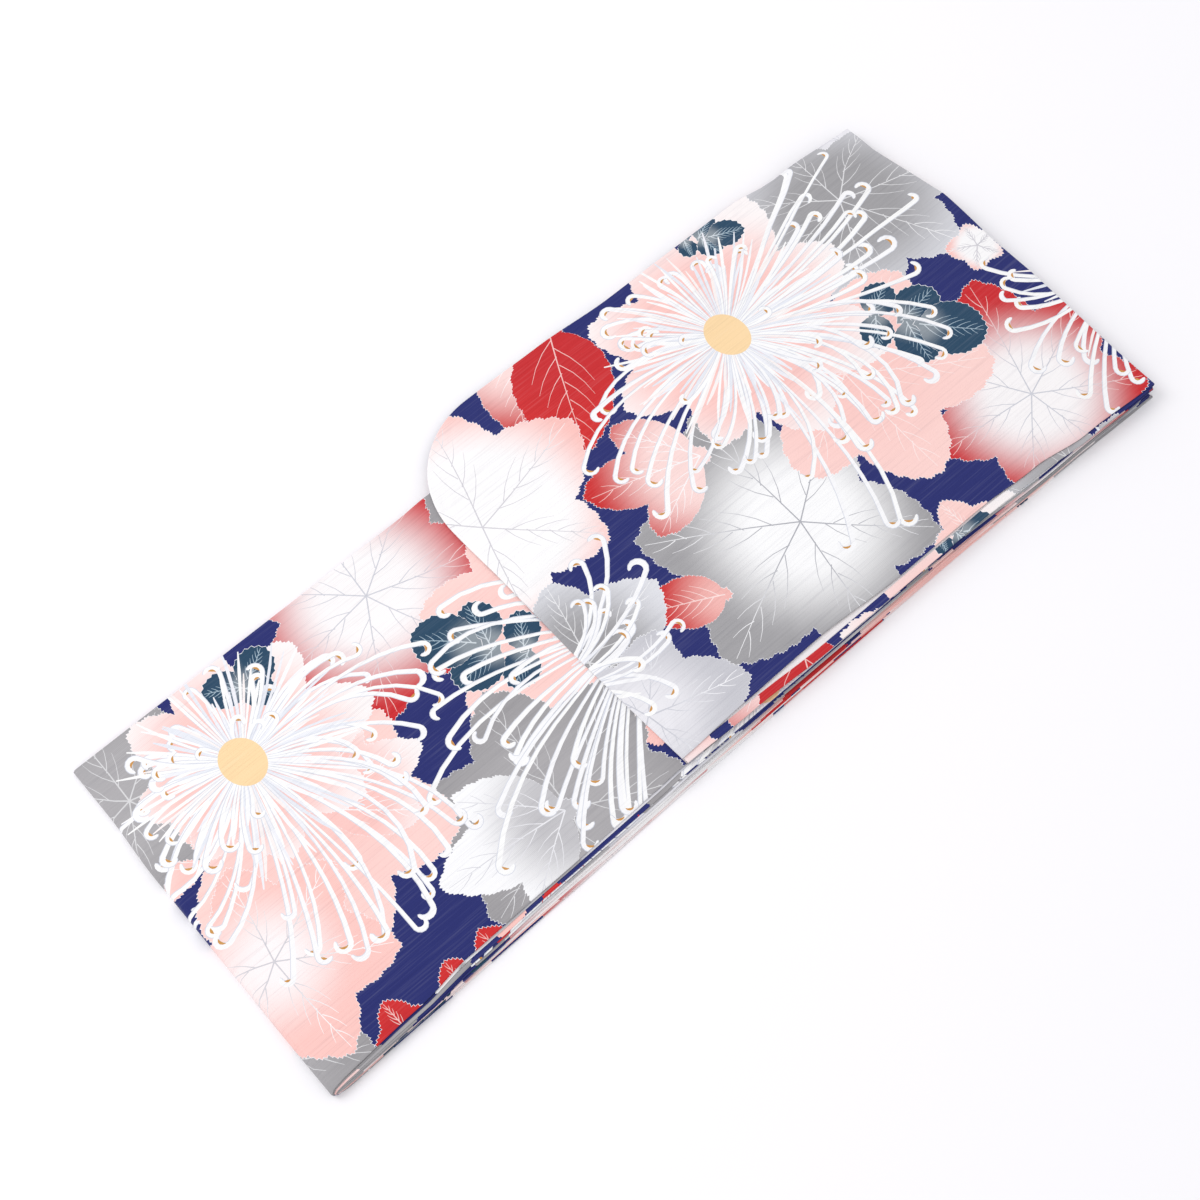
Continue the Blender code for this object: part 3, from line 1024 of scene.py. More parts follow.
@dataclass
class Sheet:
    """A sheet of printed cotton: a thin shell whose outer face carries the print."""

    name: str
    cut: Cut
    place: Place
    patches: Sequence[Patch]
    thickness: float
    face: int = 1
    ground: str = "#232A6B"
    back_spacing: float = 11.0

    def surface(self, flat: Array) -> tuple[Array, Array]:
        """The middle of the cloth and the direction its outer face looks.

        Args:
            flat: points of the laid-out sheet.

        Returns:
            Their places in the package, and unit normals.
        """
        step = 0.04
        u, v = flat.T
        middle = PACKAGE.settle(self.place(u, v))
        du = PACKAGE.settle(self.place(u + step, v)) - PACKAGE.settle(self.place(u - step, v))
        dv = PACKAGE.settle(self.place(u, v + step)) - PACKAGE.settle(self.place(u, v - step))
        normal = np.cross(du, dv) * self.face
        return middle, normal / np.maximum(np.linalg.norm(normal, axis=1, keepdims=True), 1e-12)

    def build(self) -> bpy.types.Object:
        """Makes the shell: the printed face, the inner face and the thin rim between.

        Returns:
            The new object.
        """
        front = PlanarMap(self.cut, self.patches)
        rim = front.rim()
        back = PlanarMap(Cut(front.points[rim], self.cut.bends, self.back_spacing), [])
        finder = KDTree(len(back.points))
        for i, point in enumerate(back.points):
            finder.insert((*point, 0.0), i)
        finder.balance()
        to_back = [finder.find((*point, 0.0))[1] for point in front.points[rim]]
        front_middle, front_normal = self.surface(front.points)
        back_middle, back_normal = self.surface(back.points)
        half = self.thickness / 2
        points = np.vstack([front_middle + front_normal * half, back_middle - back_normal * half])
        shift = len(front.points)
        front_faces = front.triangles if self.face > 0 else front.triangles[:, ::-1]
        back_faces = (back.triangles[:, ::-1] if self.face > 0 else back.triangles) + shift
        quads = []
        for i, a in enumerate(rim):
            j = (i + 1) % len(rim)
            low_a, low_b = to_back[i] + shift, to_back[j] + shift
            side = (rim[j], a, low_a) if low_a == low_b else (rim[j], a, low_a, low_b)
            quads.append(side if self.face > 0 else side[::-1])
        faces = [*front_faces.tolist(), *back_faces.tolist(), *[[int(q) for q in quad] for quad in quads]]
        world = (points - (CORNER_X, CORNER_Y, 0.0)) * MM
        mesh = bpy.data.meshes.new(self.name)
        mesh.from_pydata(world.tolist(), [], faces)
        self.colour(mesh, front, back, quads, shift)
        self.shade(mesh, np.vstack([front_normal, -back_normal]), len(faces) - len(quads))
        made = bpy.data.objects.new(self.name, mesh)
        bpy.context.scene.collection.objects.link(made)
        LOG.info("%s: %d faces", self.name, len(faces))
        return made

    def colour(self, mesh: bpy.types.Mesh, front: PlanarMap, back: PlanarMap,
               quads: Sequence[Sequence[int]], shift: int) -> None:
        """Writes the print into the mesh, as a colour at each corner of each face.

        Args:
            mesh: the shell.
            front: the outer face.
            back: the inner face.
            quads: the rim's faces.
            shift: how many points the outer face has.
        """
        ground = plain(self.ground)
        outer = front.colours(ground)
        if self.face < 0:
            outer = outer.reshape(-1, 3, 3)[:, ::-1].reshape(-1, 3)
        by_point = np.tile(linear(self.ground), (shift + len(back.points), 1))
        by_point[front.triangles.ravel()] = front.colours(ground)
        reverse = by_point[:shift].mean(0) * 0.5 + 0.5
        by_point[shift:] = reverse
        inner = np.tile(reverse, (len(back.triangles) * 3, 1))
        edge = by_point[[q for quad in quads for q in quad]]
        values = np.ones((len(outer) + len(inner) + len(edge), 4), np.float32)
        values[:, :3] = np.vstack([outer, inner, edge])
        layer = mesh.color_attributes.new("print", "FLOAT_COLOR", "CORNER")
        layer.data.foreach_set("color", values.ravel())

    def shade(self, mesh: bpy.types.Mesh, normals: Array, smooth_faces: int) -> None:
        """Shades both faces smooth and keeps the rim's edges crisp.

        Args:
            mesh: the shell.
            normals: the way that the cloth faces at each point.
            smooth_faces: how many faces come before the rim's.
        """
        mesh.update()
        corners = np.zeros(len(mesh.loops), np.int32)
        mesh.loops.foreach_get("vertex_index", corners)
        found = normals[corners]
        for polygon in mesh.polygons[smooth_faces:]:
            found[polygon.loop_start:polygon.loop_start + polygon.loop_total] = polygon.normal
        mesh.shade_smooth()
        mesh.normals_split_custom_set(found.tolist())


@dataclass
class Hairpin:
    """A panel that runs along both halves and round the turn at mid length."""

    name: str
    column: str
    offset: Callable[[Array, Array, Array], Array]
    far_edge: Callable[[Array], Array]
    shoulder_short: float
    hem_short: float
    face: int = 1
    wall: float = 1.1
    thickness: float = 0.50
    roll: Roll = Roll()
    far_roll: Roll = Roll()
    end_roll: Roll = Roll(0.30, 3.0)
    spacing: float = 6.0
    straight_to: float = 800.0

    def middle(self, x: Array, y: Array, upper: Array, drop: Array) -> Array:
        """How far out the middle of the cloth lies.

        Args:
            x: along the package.
            y: across it.
            upper: whether the point is on the upper half.
            drop: how far a turned edge puts it below the surface.

        Returns:
            The distance from the mid-plane of the turn.
        """
        return self.offset(x, y, upper) + self.face * (self.wall / 2 - self.thickness / 2 - drop)

    def near_edge(self, s: Array) -> Array:
        """Y of the side-seam edge, easing from the lower half to the upper at the turn.

        Args:
            s: along the panel, above 0 on the upper half.

        Returns:
            Y at each place.
        """
        share = smooth(s, -PACKAGE.turn_share, PACKAGE.turn_share)
        lower = eased(LOWER_EDGES, np.abs(s), self.column)
        upper = eased(UPPER_EDGES, np.abs(s), self.column)
        return lower * (1 - share) + upper * share

    def place(self, s: Array, v: Array) -> Array:
        """Where a point of the laid-out panel lies in the package.

        Args:
            s: along it, 0 at the turn, above 0 on the upper half.
            v: across it, from the side seam to the centre back.

        Returns:
            Points in the package.
        """
        near, near_drop = self.roll.place(v - self.near_cut(s))
        far, far_drop = self.far_roll.place(self.far_cut(s) - v)
        y = v + (self.near_edge(s) + near - v) + (self.far_edge(s) - far - v)
        upper = s > 0
        short = np.where(upper, self.shoulder_short, self.hem_short)
        end = along(SHOULDER, y) - short
        roll = self.end_roll
        stop, end_drop = roll.place(end - roll.radius + roll.length - np.abs(s))
        x = end - stop
        drop = np.maximum(near_drop, np.maximum(far_drop, end_drop))
        out = self.middle(x, y, upper, drop)
        start = PACKAGE.turn_start + PACKAGE.turn_lean * y
        out_here = self.middle(np.zeros_like(x), y, upper, drop)
        quarter = math.pi / 2 * out_here
        whole = quarter + PACKAGE.turn_share - start
        run = np.abs(s) / PACKAGE.turn_share * whole
        angle = np.clip(run / out_here, 0.0, math.pi / 2)
        bent_x = np.where(run < quarter, start - out_here * np.cos(angle), start + run - quarter)
        bent_z = out_here * np.sin(angle)
        turning = np.abs(s) < PACKAGE.turn_share
        x = np.where(turning, bent_x, x)
        rise = np.where(turning, bent_z, out)
        z = PACKAGE.mid_height(y) + np.where(upper, PACKAGE.lift(x) + rise, -rise)
        return np.column_stack([x, y, z])

    def near_cut(self, s: Array) -> Array:
        """V of the cut edge at the side seam."""
        return self.near_edge(s) + self.roll.radius - self.roll.length

    def far_cut(self, s: Array) -> Array:
        """V of the cut edge at the centre back."""
        return self.far_edge(s) - self.far_roll.radius + self.far_roll.length

    def cut(self) -> Cut:
        """The panel laid out flat.

        Returns:
            Its outline, with lines of points where it bends.
        """
        roll = self.end_roll
        grow = roll.length - roll.radius
        stations = np.concatenate([np.linspace(-self.straight_to, -30, 40), np.linspace(-15, 15, 9),
                                   np.linspace(30, self.straight_to, 40)])
        near = np.column_stack([stations, self.near_cut(stations)])
        far = np.column_stack([stations, self.far_cut(stations)])
        rows = np.linspace(0, 1, 24)

        def end(sign: int, short: float, inward: float) -> Array:
            """One end's cut.

            Args:
                sign: 1 for the shoulder, -1 for the hem.
                short: how far the fold stays short of the package's end.
                inward: how far from the cut edge.

            Returns:
                A line of points across the panel.
            """
            at = np.full_like(rows, sign * self.straight_to)
            low, high = self.near_cut(at), self.far_cut(at)
            v = low + (high - low) * rows
            y = np.clip(v, self.near_edge(at), self.far_edge(at))
            return np.column_stack([sign * (along(SHOULDER, y) - short + grow - inward), v])

        right = end(1, self.shoulder_short, 0.0)
        left = end(-1, self.hem_short, 0.0)
        edge = np.vstack([left[:1], near, right, far[::-1], left[1:][::-1]])
        full = np.concatenate([[left[0, 0]], stations, [right[0, 0]]])
        bends = [np.column_stack([full, self.near_cut(full) + b]) for b in self.roll.bends()]
        bends += [np.column_stack([full, self.far_cut(full) - b]) for b in self.far_roll.bends()]
        for b in roll.bends():
            bends += [end(1, self.shoulder_short, b), end(-1, self.hem_short, b)]
        across = np.linspace(0, 1, 30)
        turn_lines = np.linspace(-PACKAGE.turn_share, PACKAGE.turn_share, 9)
        lift_lines = np.linspace(PACKAGE.lift_from, PACKAGE.lift_to, 4)
        for s in (*turn_lines, *lift_lines):
            at = np.full_like(across, s)
            low, high = self.near_cut(at), self.far_cut(at)
            bends.append(np.column_stack([at, low + (high - low) * across]))
        return Cut(edge, bends, self.spacing)


@dataclass
class Sleeve:
    """A sleeve: a flat tube, folded at the shoulder, sewn along the bottom and part of the wrist."""

    name: str
    inset: float
    edge_rows: Sequence[Ply]
    base: Callable[[Array, Array], Array]
    thickness: float = 0.50
    roll: Roll = Roll()
    spacing: float = 6.0
    shoulder_ease: float = 110.0
    seam_angle: float = math.radians(87)
    pucker: float = 0.22
    pucker_pitch: float = 19.0
    opening_x: tuple[float, float] = (590.0, 606.0)
    opening_y: tuple[float, float] = (200.0, 260.0)
    seam_lines: tuple[float, ...] = (0.25, 0.5, 0.75, 1.0, 1.6)
    droop_lines: tuple[float, ...] = (304.5, 310, 316, 322, 328, 334, 340)
    lower_corner: float = 338.0

    @property
    def radius(self) -> float:
        """The radius of the middle of the cloth where one ply turns into the other."""
        return PACKAGE.wall + PACKAGE.gap / 2 - self.thickness / 2

    @property
    def half_turn(self) -> float:
        """Half the cloth that the shoulder fold takes."""
        return self.radius * math.pi / 2

    @property
    def straight(self) -> float:
        """X of the shoulder fold's start, were it straight."""
        return 826.0 - self.inset / 2 - self.radius - self.thickness / 2

    @property
    def reach(self) -> float:
        """Y of the wrist edge, laid out flat."""
        return PACKAGE.sleeve_reach - self.inset

    def near_edge(self, u: Array) -> Array:
        """Y of the open inner edge.

        Args:
            u: round the tube, below 0 on the upper ply.

        Returns:
            Y at each place.
        """
        x = np.clip(self.straight - np.abs(u), 0, 828)
        share = smooth(u, -12.0, 12.0)
        upper = eased(self.edge_rows, x, "upper")
        return upper * (1 - share) + eased(self.edge_rows, x, "under") * share

    def near_cut(self, u: Array) -> Array:
        """V of the cut inner edge."""
        return self.near_edge(u) + self.roll.radius - self.roll.length

    def inside(self, x: Array, y: Array) -> tuple[Array, Array, Array]:
        """How far a point is inside the sewn outline, and the way outwards.

        Args:
            x: along the package.
            y: across it, laid out flat.

        Returns:
            The distance, and the outward direction in x and in y.
        """
        bottom = along(SLEEVE_BOTTOM, y) + self.inset / 2
        centre_x = SLEEVE_BOTTOM[-1].x + self.inset / 2 + PACKAGE.corner_radius
        centre_y = self.reach - PACKAGE.corner_radius
        from_bottom = x - bottom
        from_wrist = self.reach - y
        corner = (x < centre_x) & (y > centre_y)
        off = np.maximum(np.hypot(x - centre_x, y - centre_y), 1e-6)
        distance = np.where(corner, PACKAGE.corner_radius - off, np.minimum(from_bottom, from_wrist))
        at_bottom = from_bottom < from_wrist
        out_x = np.where(corner, (x - centre_x) / off, np.where(at_bottom, -1.0, 0.0))
        out_y = np.where(corner, (y - centre_y) / off, np.where(at_bottom, 0.0, 1.0))
        return distance, out_x, out_y

    def place(self, u: Array, v: Array) -> Array:
        """Where a point of the laid-out sleeve lies in the package.

        Args:
            u: round the tube, 0 at the shoulder fold and below 0 on the upper ply.
            v: across it, from the open inner edge to the wrist.

        Returns:
            Points in the package.
        """
        near, near_drop = self.roll.place(v - self.near_cut(u))
        y = self.near_edge(u) + near
        line = along(SHOULDER, y) - self.inset / 2 - self.radius - self.thickness / 2
        ease = 1 - smooth(np.abs(u), 0.0, self.shoulder_ease)
        start = line * ease + self.straight * (1 - ease)
        past = np.abs(u) - self.half_turn
        x = start - np.maximum(past, 0.0)
        level = self.radius - near_drop
        turn = np.clip(u / self.radius, -math.pi / 2, math.pi / 2)
        x = x + np.where(past < 0, level * np.cos(turn), 0.0)
        side = -np.sin(turn)
        distance, out_x, out_y = self.inside(x, y)
        seam = self.radius * self.seam_angle
        bend = np.clip((seam - distance) / self.radius, 0.0, self.seam_angle)
        fade = 1 - smooth(distance, seam, 30.0)
        sewn_at = np.where(distance < seam, self.radius - level * np.sin(bend),
                           distance - (seam - self.radius) * fade)
        sewn_level = level * np.cos(bend)
        hem = Roll(self.roll.radius, seam - math.pi * self.roll.radius)
        open_at, open_drop = hem.place(distance)
        open_at = np.where(distance < seam, open_at, distance - (seam - hem.radius) * fade)
        open_level = self.radius - np.maximum(near_drop, open_drop)
        open_share = smooth(x, *self.opening_x) * smooth(y, *self.opening_y)
        at = sewn_at * (1 - open_share) + open_at * open_share
        height = sewn_level * (1 - open_share) + open_level * open_share
        x = x + out_x * (distance - at)
        y = y + out_y * (distance - at)
        # The seam's tight thread draws small waves into the cloth beside it
        phase = (x - y) / self.pucker_pitch * 2 * math.pi
        waves = np.sin(phase + 0.8 * np.sin(phase * 0.37)) * (1 - smooth(distance, 4.0, 26.0))
        height = height + self.pucker * waves * smooth(distance, 1.5, 6.0) * (side > 0.9)
        over = np.clip(y - PACKAGE.back_width, 0.0, None) / (PACKAGE.sleeve_reach - PACKAGE.back_width)
        wrist = eased(WRIST, x, "y") - PACKAGE.sleeve_reach
        y = y + over * wrist
        centre = self.base(x, y) + PACKAGE.wall + PACKAGE.gap / 2
        return np.column_stack([x, y, centre + side * height])

    def cut(self) -> Cut:
        """The sleeve laid out flat.

        Returns:
            Both plies in one outline, joined at the shoulder, with lines where they bend.
        """
        radius = PACKAGE.corner_radius
        top = self.straight + self.half_turn
        centre_x = SLEEVE_BOTTOM[-1].x + self.inset / 2 + radius
        centre_y = self.reach - radius
        turns = np.linspace(math.pi, math.pi / 2, 26)
        corner = np.column_stack([centre_x + radius * np.cos(turns), centre_y + radius * np.sin(turns)])
        rows = np.linspace(0, 1, 14)[:-1]

        def ply(sign: int) -> Array:
            """One ply's outline, from its inner corner round to the shoulder fold's far end.

            Args:
                sign: -1 for the upper ply, 1 for the under one.

            Returns:
                Its points.
            """
            inner = self.near_cut(np.array([sign * (top - self.lower_corner)]))[0]
            v = inner + (centre_y - inner) * rows
            bottom = np.column_stack([along(SLEEVE_BOTTOM, v) + self.inset / 2, v])
            wrist = np.column_stack([np.linspace(centre_x, top, 30)[1:], np.full(29, self.reach)])
            line = np.vstack([bottom, corner, wrist])
            return np.column_stack([sign * (top - line[:, 0]), line[:, 1]])

        upper, under = ply(-1), ply(1)
        stations = np.concatenate([np.linspace(upper[0, 0], -16, 44), np.linspace(-12, 12, 9),
                                   np.linspace(16, under[0, 0], 44)])
        near = np.column_stack([stations, self.near_cut(stations)])[1:-1]
        edge = np.vstack([upper[:1], near, under, upper[1:-1][::-1]])
        bends = [np.column_stack([stations, self.near_cut(stations) + b]) for b in self.roll.bends()]
        seam = self.radius * self.seam_angle
        for share in self.seam_lines:
            for line, sign in ((upper, -1), (under, 1)):
                x = top - sign * line[:, 0]
                _, out_x, out_y = self.inside(x, line[:, 1])
                x = x - out_x * seam * share
                bends.append(np.column_stack([sign * (top - x), line[:, 1] - out_y * seam * share]))
        for share in FOLD_LINES:
            v = np.linspace(-4, self.reach, 60)
            bends.append(np.column_stack([np.full_like(v, share * self.half_turn), v]))
        for v in self.droop_lines:
            at = np.linspace(upper[0, 0] + 45, under[0, 0] - 45, 150)
            bends.append(np.column_stack([at, np.full_like(at, v - self.inset / 2)]))
        return Cut(edge, bends, self.spacing)


@dataclass
class CollarBand:
    """The collar at the neck: a band folded in two along its outer edge."""

    name: str = "collar_cloth"
    start: float = 223.0
    end: float = 300.0
    depth: float = 62.0
    peek: float = 1.0
    thickness: float = 0.50

    @property
    def radius(self) -> float:
        """The radius of the middle of the cloth at the fold."""
        return PACKAGE.wall + PACKAGE.gap / 2 - self.thickness / 2

    def place(self, u: Array, v: Array) -> Array:
        """Where a point of the laid-out band lies in the package.

        Args:
            u: across the band, 0 at its fold.
            v: along it.

        Returns:
            Points in the package.
        """
        line = along(SHOULDER, v) + self.peek - self.radius - self.thickness / 2
        past = np.maximum(np.abs(u) - self.radius * math.pi / 2, 0.0)
        turn = np.clip(u / self.radius, -math.pi / 2, math.pi / 2)
        x = line - past + np.where(past > 0, 0.0, self.radius * np.cos(turn))
        centre = PACKAGE.mid_height(v) + PACKAGE.lift(x) + PACKAGE.fronts_inner
        centre = centre + PACKAGE.wall + PACKAGE.gap / 2
        return np.column_stack([x, v, centre - self.radius * np.sin(turn)])

    def cut(self) -> Cut:
        """The band laid out flat.

        Returns:
            Its outline, with lines of points round its fold.
        """
        reach = self.depth - 2.0
        rows = np.linspace(self.start, self.end, 12)
        edge = np.vstack([np.column_stack([np.full(12, reach), rows]),
                          np.column_stack([np.full(12, -reach), rows[::-1]])])
        turn = self.radius * math.pi / 2
        bends = [np.column_stack([np.full(12, turn * share), rows])
                 for share in FOLD_LINES]
        return Cut(edge, bends, 10.0)


def add_node(tree: bpy.types.NodeTree, kind: str, links: dict[str, object] | None = None,
             **settings: object) -> bpy.types.Node:
    """Adds a shader node.

    Args:
        tree: the material's or world's nodes.
        kind: the node's type.
        links: for each input, a value or another node's output.
        **settings: the node's own settings.

    Returns:
        The new node.
    """
    node = tree.nodes.new(kind)
    for key, value in settings.items():
        setattr(node, key, value)
    for key, value in (links or {}).items():
        socket = node.inputs[int(key)] if key.isdigit() else node.inputs[key]
        if isinstance(value, bpy.types.NodeSocket):
            tree.links.new(value, socket)
        else:
            socket.default_value = value
    return node


@dataclass(frozen=True)
class PrintedCotton:
    """Plain-weave slub cotton, dyed right through: matt, with fine uneven threads along it."""

    name: str = "slub_cotton_plain_weave_printed"
    roughness: float = 0.86
    ior: float = 1.47
    sheen: float = 0.10
    thread_mm: float = 1.0
    slub_length_mm: float = 60.0
    slub_width_mm: float = 1.3
    slub_depth_mm: float = 40.0
    pale_streak: tuple[float, float, float, float] = (0.86, 0.87, 0.92, 1.0)
    pale_share: float = 0.045
    deep_streak: tuple[float, float, float, float] = (0.50, 0.50, 0.56, 1.0)
    deep_share: float = 0.24
    relief_strength: float = 0.22
    relief_mm: float = 0.3

    def make(self) -> bpy.types.Material:
        """Builds the material.

        Returns:
            The material, which reads the colour that each mesh carries.
        """
        material = bpy.data.materials.new(self.name)
        material.use_nodes = True
        tree = material.node_tree
        shader = tree.nodes["Principled BSDF"]
        shader.inputs["Roughness"].default_value = self.roughness
        shader.inputs["IOR"].default_value = self.ior
        shader.inputs["Sheen Weight"].default_value = self.sheen
        shader.inputs["Specular IOR Level"].default_value = 0.3
        colour = add_node(tree, "ShaderNodeVertexColor", layer_name="print")
        place = add_node(tree, "ShaderNodeTexCoord").outputs["Object"]
        # Slubs are thick soft threads along the length: they show as uneven streaks, a little
        # paler than the dye or a little deeper, which give the eye the cloth's grain
        stretch = tuple(1000 / mm for mm in (self.slub_length_mm, self.slub_width_mm, self.slub_depth_mm))
        slub_place = add_node(tree, "ShaderNodeMapping", {"Vector": place, "Scale": stretch})
        slub = add_node(tree, "ShaderNodeTexNoise",
                        {"Vector": slub_place.outputs[0], "Scale": 1.0, "Detail": 2.0, "Roughness": 0.6})
        streak = add_node(tree, "ShaderNodeMapRange",
                          {"Value": slub.outputs["Fac"], "From Min": 0.52, "From Max": 0.78,
                           "To Min": 0.0, "To Max": self.pale_share})
        pale = add_node(tree, "ShaderNodeMix", {"0": streak.outputs[0], "6": colour.outputs["Color"],
                                                "7": self.pale_streak}, data_type="RGBA")
        dark = add_node(tree, "ShaderNodeMapRange",
                        {"Value": slub.outputs["Fac"], "From Min": 0.50, "From Max": 0.22,
                         "To Min": 0.0, "To Max": self.deep_share})
        deep = add_node(tree, "ShaderNodeMix",
                        {"0": dark.outputs[0], "6": pale.outputs[2], "7": self.deep_streak},
                        data_type="RGBA", blend_type="MULTIPLY")
        tree.links.new(deep.outputs[2], shader.inputs["Base Color"])
        # Threads finer than the render shows are drawn one millimetre apart
        pitch = 1000 / self.thread_mm * math.pi / 10
        thread = {"Vector": place, "Scale": pitch, "Distortion": 1.5, "Detail": 1.0}
        warp, weft = (add_node(tree, "ShaderNodeTexWave", thread, bands_direction=way) for way in "YX")
        threads = add_node(tree, "ShaderNodeMath", {"0": warp.outputs["Fac"], "1": weft.outputs["Fac"]},
                           operation="ADD")
        relief = add_node(tree, "ShaderNodeMath",
                          {"0": slub.outputs["Fac"], "1": 3.0, "2": threads.outputs[0]},
                          operation="MULTIPLY_ADD")
        bump = add_node(tree, "ShaderNodeBump", {"Strength": self.relief_strength,
                                                 "Distance": self.relief_mm * MM,
                                                 "Height": relief.outputs[0]})
        tree.links.new(bump.outputs[0], shader.inputs["Normal"])
        return material


@dataclass
class Stage:
    """The white table, the soft light and the camera."""

    target: tuple[float, float, float] = (382.238, 156.202, 0.0)
    distance: float = 1634.031
    elevation: float = 65.446
    azimuth: float = -41.927
    roll: float = 0.067
    lens: float = 65.07
    sensor: float = 36.0
    table: float = 8.0
    table_drop: float = 0.0004
    laminate: str = "#F7F6F8"
    sky: tuple[float, float, float, float] = (0.985, 0.98, 1.0, 1.0)
    sky_strength: float = 0.90
    lamp_size: float = 1.6
    lamp_watts: float = 21.0
    lamp_place: tuple[float, float, float] = (-1.0, 1.3, 1.9)

    def camera(self) -> None:
        """Sets the camera where the photograph was taken from."""
        data = bpy.data.cameras.new("camera")
        data.lens = self.lens
        data.sensor_width = self.sensor
        data.clip_start = 0.05
        camera = bpy.data.objects.new("camera", data)
        bpy.context.scene.collection.objects.link(camera)
        height, side = math.radians(self.elevation), math.radians(self.azimuth)
        back = Vector((math.sin(side) * math.cos(height), -math.cos(side) * math.cos(height),
                       math.sin(height)))
        right = Vector((math.cos(side), math.sin(side), 0.0))
        up = back.cross(right)
        target = (Vector(self.target) - Vector((CORNER_X, CORNER_Y, 0.0))) * MM
        turn = Matrix((right, up, back)).transposed().to_4x4()
        turned = turn @ Matrix.Rotation(math.radians(self.roll), 4, "Z")
        camera.matrix_world = Matrix.Translation(target + back * self.distance * MM) @ turned
        bpy.context.scene.camera = camera

    def floor(self) -> None:
        """Lays a plain white table under the robe."""
        half = self.table / 2
        mesh = bpy.data.meshes.new("table_top")
        mesh.from_pydata([(-half, -half, -self.table_drop), (half, -half, -self.table_drop),
                          (half, half, -self.table_drop), (-half, half, -self.table_drop)],
                         [], [(0, 1, 2, 3)])
        top = bpy.data.objects.new("table_top", mesh)
        bpy.context.scene.collection.objects.link(top)
        # Matt white laminate: bright and even, with no gloss
        paint = bpy.data.materials.new("white_matt_laminate")
        paint.use_nodes = True
        shader = paint.node_tree.nodes["Principled BSDF"]
        shader.inputs["Base Color"].default_value = (*linear(self.laminate), 1.0)
        shader.inputs["Roughness"].default_value = 0.9
        mesh.materials.append(paint)

    def light(self) -> None:
        """Lights the table evenly, with one soft lamp from the upper left."""
        scene = bpy.context.scene
        world = bpy.data.worlds.new("studio")
        world.use_nodes = True
        background = world.node_tree.nodes["Background"]
        background.inputs["Color"].default_value = self.sky
        background.inputs["Strength"].default_value = self.sky_strength
        scene.world = world
        scene.view_settings.view_transform = "Standard"
        lamp_data = bpy.data.lights.new("softbox", "AREA")
        lamp_data.shape = "DISK"
        lamp_data.size = self.lamp_size
        lamp_data.energy = self.lamp_watts
        lamp = bpy.data.objects.new("softbox", lamp_data)
        lamp.location = self.lamp_place
        lamp.rotation_mode = "QUATERNION"
        lamp.rotation_quaternion = (-lamp.location).to_track_quat("-Z", "Y")
        scene.collection.objects.link(lamp)

    def build(self) -> None:
        """Sets up the camera, the table and the light."""
        self.camera()
        self.floor()
        self.light()


def shifted(patches: Sequence[Patch], along_by: float, across_by: float = 0.0) -> list[Patch]:
    """Shapes of the print, moved along and across the cloth."""
    by = np.array([along_by, across_by])
    return [Patch(p.outline + by, lambda at, p=p: p.paint(at - by)) for p in patches]


def turned(patches: Sequence[Patch], x: float, y: float) -> list[Patch]:
    """Shapes of the print, turned half round, with the given sum of old and new places."""
    total = np.array([x, y])
    return [Patch(total - p.outline, lambda at, p=p: p.paint(total - at)) for p in patches]


def plain_leaves(leaves: Sequence[Leaf]) -> list[Leaf]:
    """The same leaves without veins or outlines, for cloth that shows only at its edges."""
    return [replace(leaf, veined=False, line=0.0) for leaf in leaves]


class FrontPanel(NamedTuple):
    """One of the panels folded inside, and how far the print is moved on it."""

    name: str
    column: str
    layer: int
    far: float
    along_by: float
    across_by: float
    flower_by: float

    def offset(self, x: Array, y: Array, upper: Array) -> Array:
        """How far out this layer of the fronts lies."""
        packed = PACKAGE.fronts_packed * PACKAGE.fullness(x, y, upper) - PACKAGE.gap
        return PACKAGE.fronts_inner + packed * (self.layer + 0.5) / len(FRONT_PANELS)

    def far_edge(self, s: Array) -> Array:
        """Y of the far edge, which steps back beside the collar."""
        stepped = smooth(s, PACKAGE.step_back_from_x, PACKAGE.step_back_to_x)
        return self.far - (self.far - PACKAGE.step_back_to) * stepped


FRONT_PANELS = (
    FrontPanel("right_front_cloth", "front_inner", 0, 244.0, 60.0, 20.0, 120.0),
    FrontPanel("overlaps_cloth", "front_middle", 1, 234.0, 140.0, -12.0, 320.0),
    FrontPanel("left_front_cloth", "front_outer", 2, 226.0, -60.0, -40.0, 520.0),
)


Form = Hairpin | Sleeve | CollarBand


